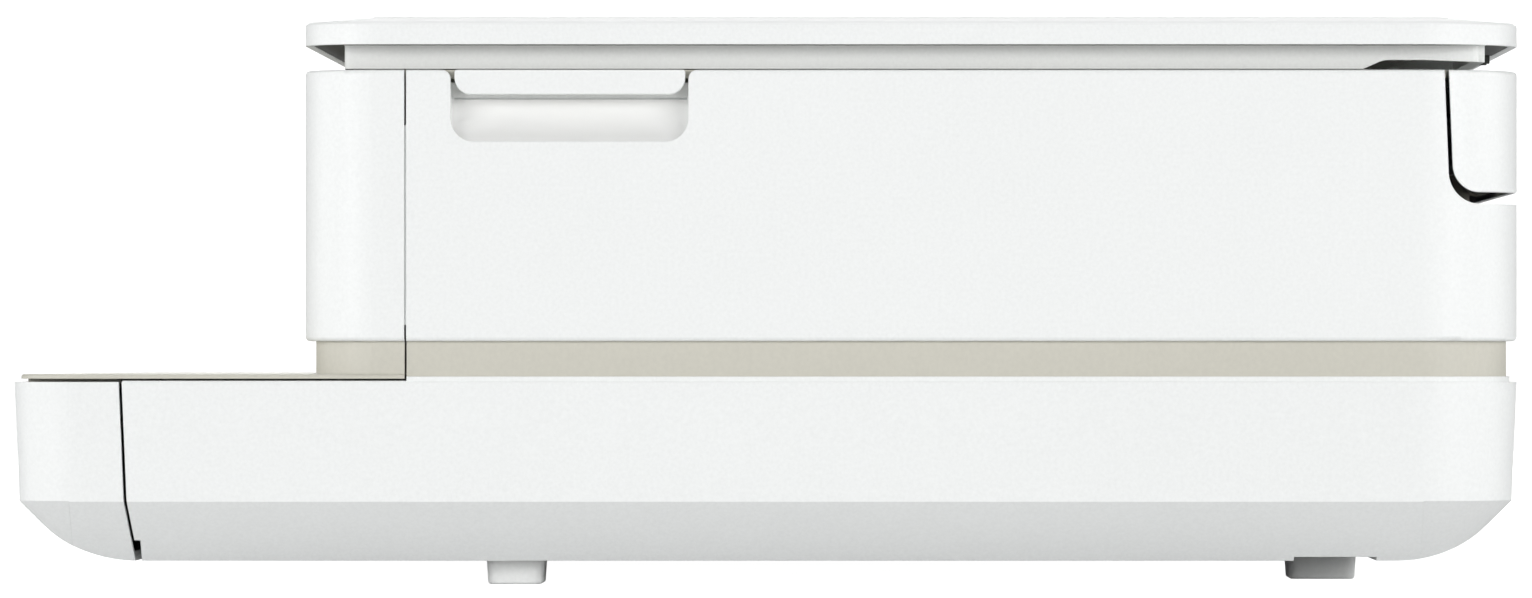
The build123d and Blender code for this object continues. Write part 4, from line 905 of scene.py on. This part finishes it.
class PRINTER_OT_lid_pad(bpy.types.Operator):
    """Build the lid's foam pad with its film face"""

    bl_idname = "printer.lid_pad"
    bl_label = "Lid pad"

    def execute(self, context):
        """A soft white pad with rounded edges, put in place of the CAD pad."""
        details = context.scene.printer_details
        low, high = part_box("lid_pad")
        shape = bmesh.new()
        place_box(shape, low / MM, high / MM)
        half = (high.z - low.z) / 2
        upright = [edge for edge in shape.edges if abs((edge.verts[0].co - edge.verts[1].co).z) > half]
        round_edges(shape, upright, details.pad_corner, 6)
        lower = [edge for edge in shape.edges if all(vert.co.z < low.z + 1e-6 for vert in edge.verts)]
        round_edges(shape, lower, details.pad_edge, 4)
        face = min(shape.faces, key=lambda item: item.calc_center_median().z)
        bmesh.ops.inset_region(shape, faces=[face], thickness=0.004, depth=0.0)
        pad = finish_piece("lid_foam_pad", shape, "lid", self.foam_material(), smooth_angle=50.0)
        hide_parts("lid_pad")
        return {"FINISHED"}

    def foam_material(self):
        """White film over foam: faint dimples and a soft sheen."""
        material, tree, shader = new_material("pad foam")
        place = object_place(tree)
        waves = noise(tree, place, 30.0, 3.0)
        height = math_node(tree, "MULTIPLY_ADD", waves, 2.0, cell_distance(tree, place, 900.0))
        tone = mix_colours(tree, waves, (0.83, 0.835, 0.83), (0.78, 0.78, 0.77))
        tree.links.new(tone, shader.inputs["Base Color"])
        tree.links.new(bump_normal(tree, 0.25, 0.0004, height), shader.inputs["Normal"])
        shader.inputs["Roughness"].default_value = 0.62
        shader.inputs["Sheen Weight"].default_value = 0.2
        return material


class PRINTER_OT_feet(bpy.types.Operator):
    """Finish the feet"""

    bl_idname = "printer.feet"
    bl_label = "Feet"

    def execute(self, context):
        """Light grey rubber with scuffed edges."""
        dress(rubber("foot rubber", (0.86, 0.87, 0.86), 0.6), "feet")
        return {"FINISHED"}


class PRINTER_OT_stage(bpy.types.Operator):
    """Set up the floor, the lights and the camera"""

    bl_idname = "printer.stage"
    bl_label = "Studio"

    def execute(self, context):
        """A pale floor, large soft lights and a long lens square to the right side."""
        stage = context.scene.printer_stage
        self.add_floor()
        self.add_lights(stage)
        self.add_camera(stage)
        context.scene.view_settings.view_transform = "Standard"
        return {"FINISHED"}

    def add_floor(self):
        """A large pale floor that the camera sees as plain white."""
        material, tree, shader = new_material("studio floor")
        place = object_place(tree)
        tone = mix_colours(tree, noise(tree, place, 2.0, 3.0), (0.70, 0.70, 0.70), (0.72, 0.72, 0.72))
        tree.links.new(tone, shader.inputs["Base Color"])
        shader.inputs["Roughness"].default_value = 0.95
        shader.inputs["Specular IOR Level"].default_value = 0.0
        seen = add_node(tree, "ShaderNodeLightPath").outputs["Is Camera Ray"]
        shader.inputs["Emission Color"].default_value = (1.0, 1.0, 1.0, 1.0)
        tree.links.new(seen, shader.inputs["Emission Strength"])
        mesh = bpy.data.meshes.new("studio_floor")
        shape = bmesh.new()
        bmesh.ops.create_grid(shape, x_segments=1, y_segments=1, size=60.0)
        shape.to_mesh(mesh)
        shape.free()
        mesh.materials.append(material)
        floor = bpy.data.objects.new("studio_floor", mesh)
        bpy.context.scene.collection.objects.link(floor)

    def add_lights(self, stage):
        """Even room light, two keys at the near side, one light at each end, one overhead and one behind."""
        world = bpy.data.worlds.new("studio")
        world.use_nodes = True
        tree = world.node_tree
        background = tree.nodes["Background"]
        background.inputs[0].default_value = (1.0, 1.0, 1.0, 1.0)
        seen = add_node(tree, "ShaderNodeLightPath").outputs["Is Camera Ray"]
        strength = math_node(tree, "MULTIPLY_ADD", seen, 1.2, stage.room_light)
        tree.links.new(strength, background.inputs[1])
        bpy.context.scene.world = world
        lights = (
            ("key_light_front", (2.9, -1.9, 0.10), 2.2, stage.key_power),
            ("key_light_rear", (2.9, 1.9, 0.10), 2.2, stage.key_power),
            ("end_light_front", (0.2, -3.1, 0.60), 2.2, stage.end_power),
            ("end_light_rear", (0.2, 3.1, 0.60), 2.2, stage.end_power),
            ("top_light", (0.0, 0.0, 2.6), 2.0, stage.top_power),
            ("back_light", (-3.0, 0.0, 1.2), 2.0, stage.back_power),
        )
        for name, place, size, power in lights:
            data = bpy.data.lights.new(name, "AREA")
            data.shape = "SQUARE"
            data.size = size
            data.energy = power
            light = bpy.data.objects.new(name, data)
            light.location = place
            aim = Vector((0.0, 0.0, 0.1)) - Vector(place)
            light.rotation_euler = aim.to_track_quat("-Z", "Y").to_euler()
            bpy.context.scene.collection.objects.link(light)

    def add_camera(self, stage):
        """A long lens square to the right side, its frame shifted to hold the whole printer."""
        data = bpy.data.cameras.new("camera")
        data.sensor_width = 36.0
        data.lens = 36.0 * stage.camera_distance / stage.frame_width
        data.shift_x = -stage.camera_offset / stage.frame_width
        data.shift_y = (stage.frame_height - stage.camera_height) / stage.frame_width
        data.clip_end = 200.0
        camera = bpy.data.objects.new("camera", data)
        camera.location = (CAD_BOX[1][0] + stage.camera_distance, stage.camera_offset, stage.camera_height)
        camera.rotation_euler = (pi / 2, 0.0, pi / 2)
        bpy.context.scene.collection.objects.link(camera)
        bpy.context.scene.camera = camera


STEPS = (
    PRINTER_OT_housing,
    PRINTER_OT_band,
    PRINTER_OT_panel,
    PRINTER_OT_tray,
    PRINTER_OT_engine,
    PRINTER_OT_cartridges,
    PRINTER_OT_scanner,
    PRINTER_OT_lid_pad,
    PRINTER_OT_feet,
    PRINTER_OT_stage,
)


class PRINTER_PT_sidebar(bpy.types.Panel):
    """The printer's steps and settings in the 3D view's sidebar"""

    bl_idname = "PRINTER_PT_sidebar"
    bl_label = "Inkjet Printer"
    bl_space_type = "VIEW_3D"
    bl_region_type = "UI"
    bl_category = "Printer"

    def draw(self, context):
        """Lists the operators, then the settings they read."""
        for step in STEPS:
            self.layout.operator(step.bl_idname)
        for group in ("printer_finish", "printer_details", "printer_stage"):
            settings = getattr(context.scene, group)
            box = self.layout.box()
            for key in settings.__annotations__:
                box.prop(settings, key)


CLASSES = (PrinterFinish, PrinterDetails, PrinterStage, *STEPS, PRINTER_PT_sidebar)


def register():
    """Adds the classes and their settings to Blender."""
    for item in CLASSES:
        bpy.utils.register_class(item)
    bpy.types.Scene.printer_finish = bpy.props.PointerProperty(type=PrinterFinish)
    bpy.types.Scene.printer_details = bpy.props.PointerProperty(type=PrinterDetails)
    bpy.types.Scene.printer_stage = bpy.props.PointerProperty(type=PrinterStage)


def unregister():
    """Removes them again."""
    del bpy.types.Scene.printer_stage
    del bpy.types.Scene.printer_details
    del bpy.types.Scene.printer_finish
    for item in reversed(CLASSES):
        bpy.utils.unregister_class(item)


def main():
    """Registers the add-on and runs every step in order."""
    register()
    bpy.ops.printer.housing()
    bpy.ops.printer.band()
    bpy.ops.printer.panel()
    bpy.ops.printer.tray()
    bpy.ops.printer.engine()
    bpy.ops.printer.cartridges()
    bpy.ops.printer.scanner()
    bpy.ops.printer.lid_pad()
    bpy.ops.printer.feet()
    bpy.ops.printer.stage()
    bpy.context.view_layer.update()


if __name__ == "__main__":
    main()
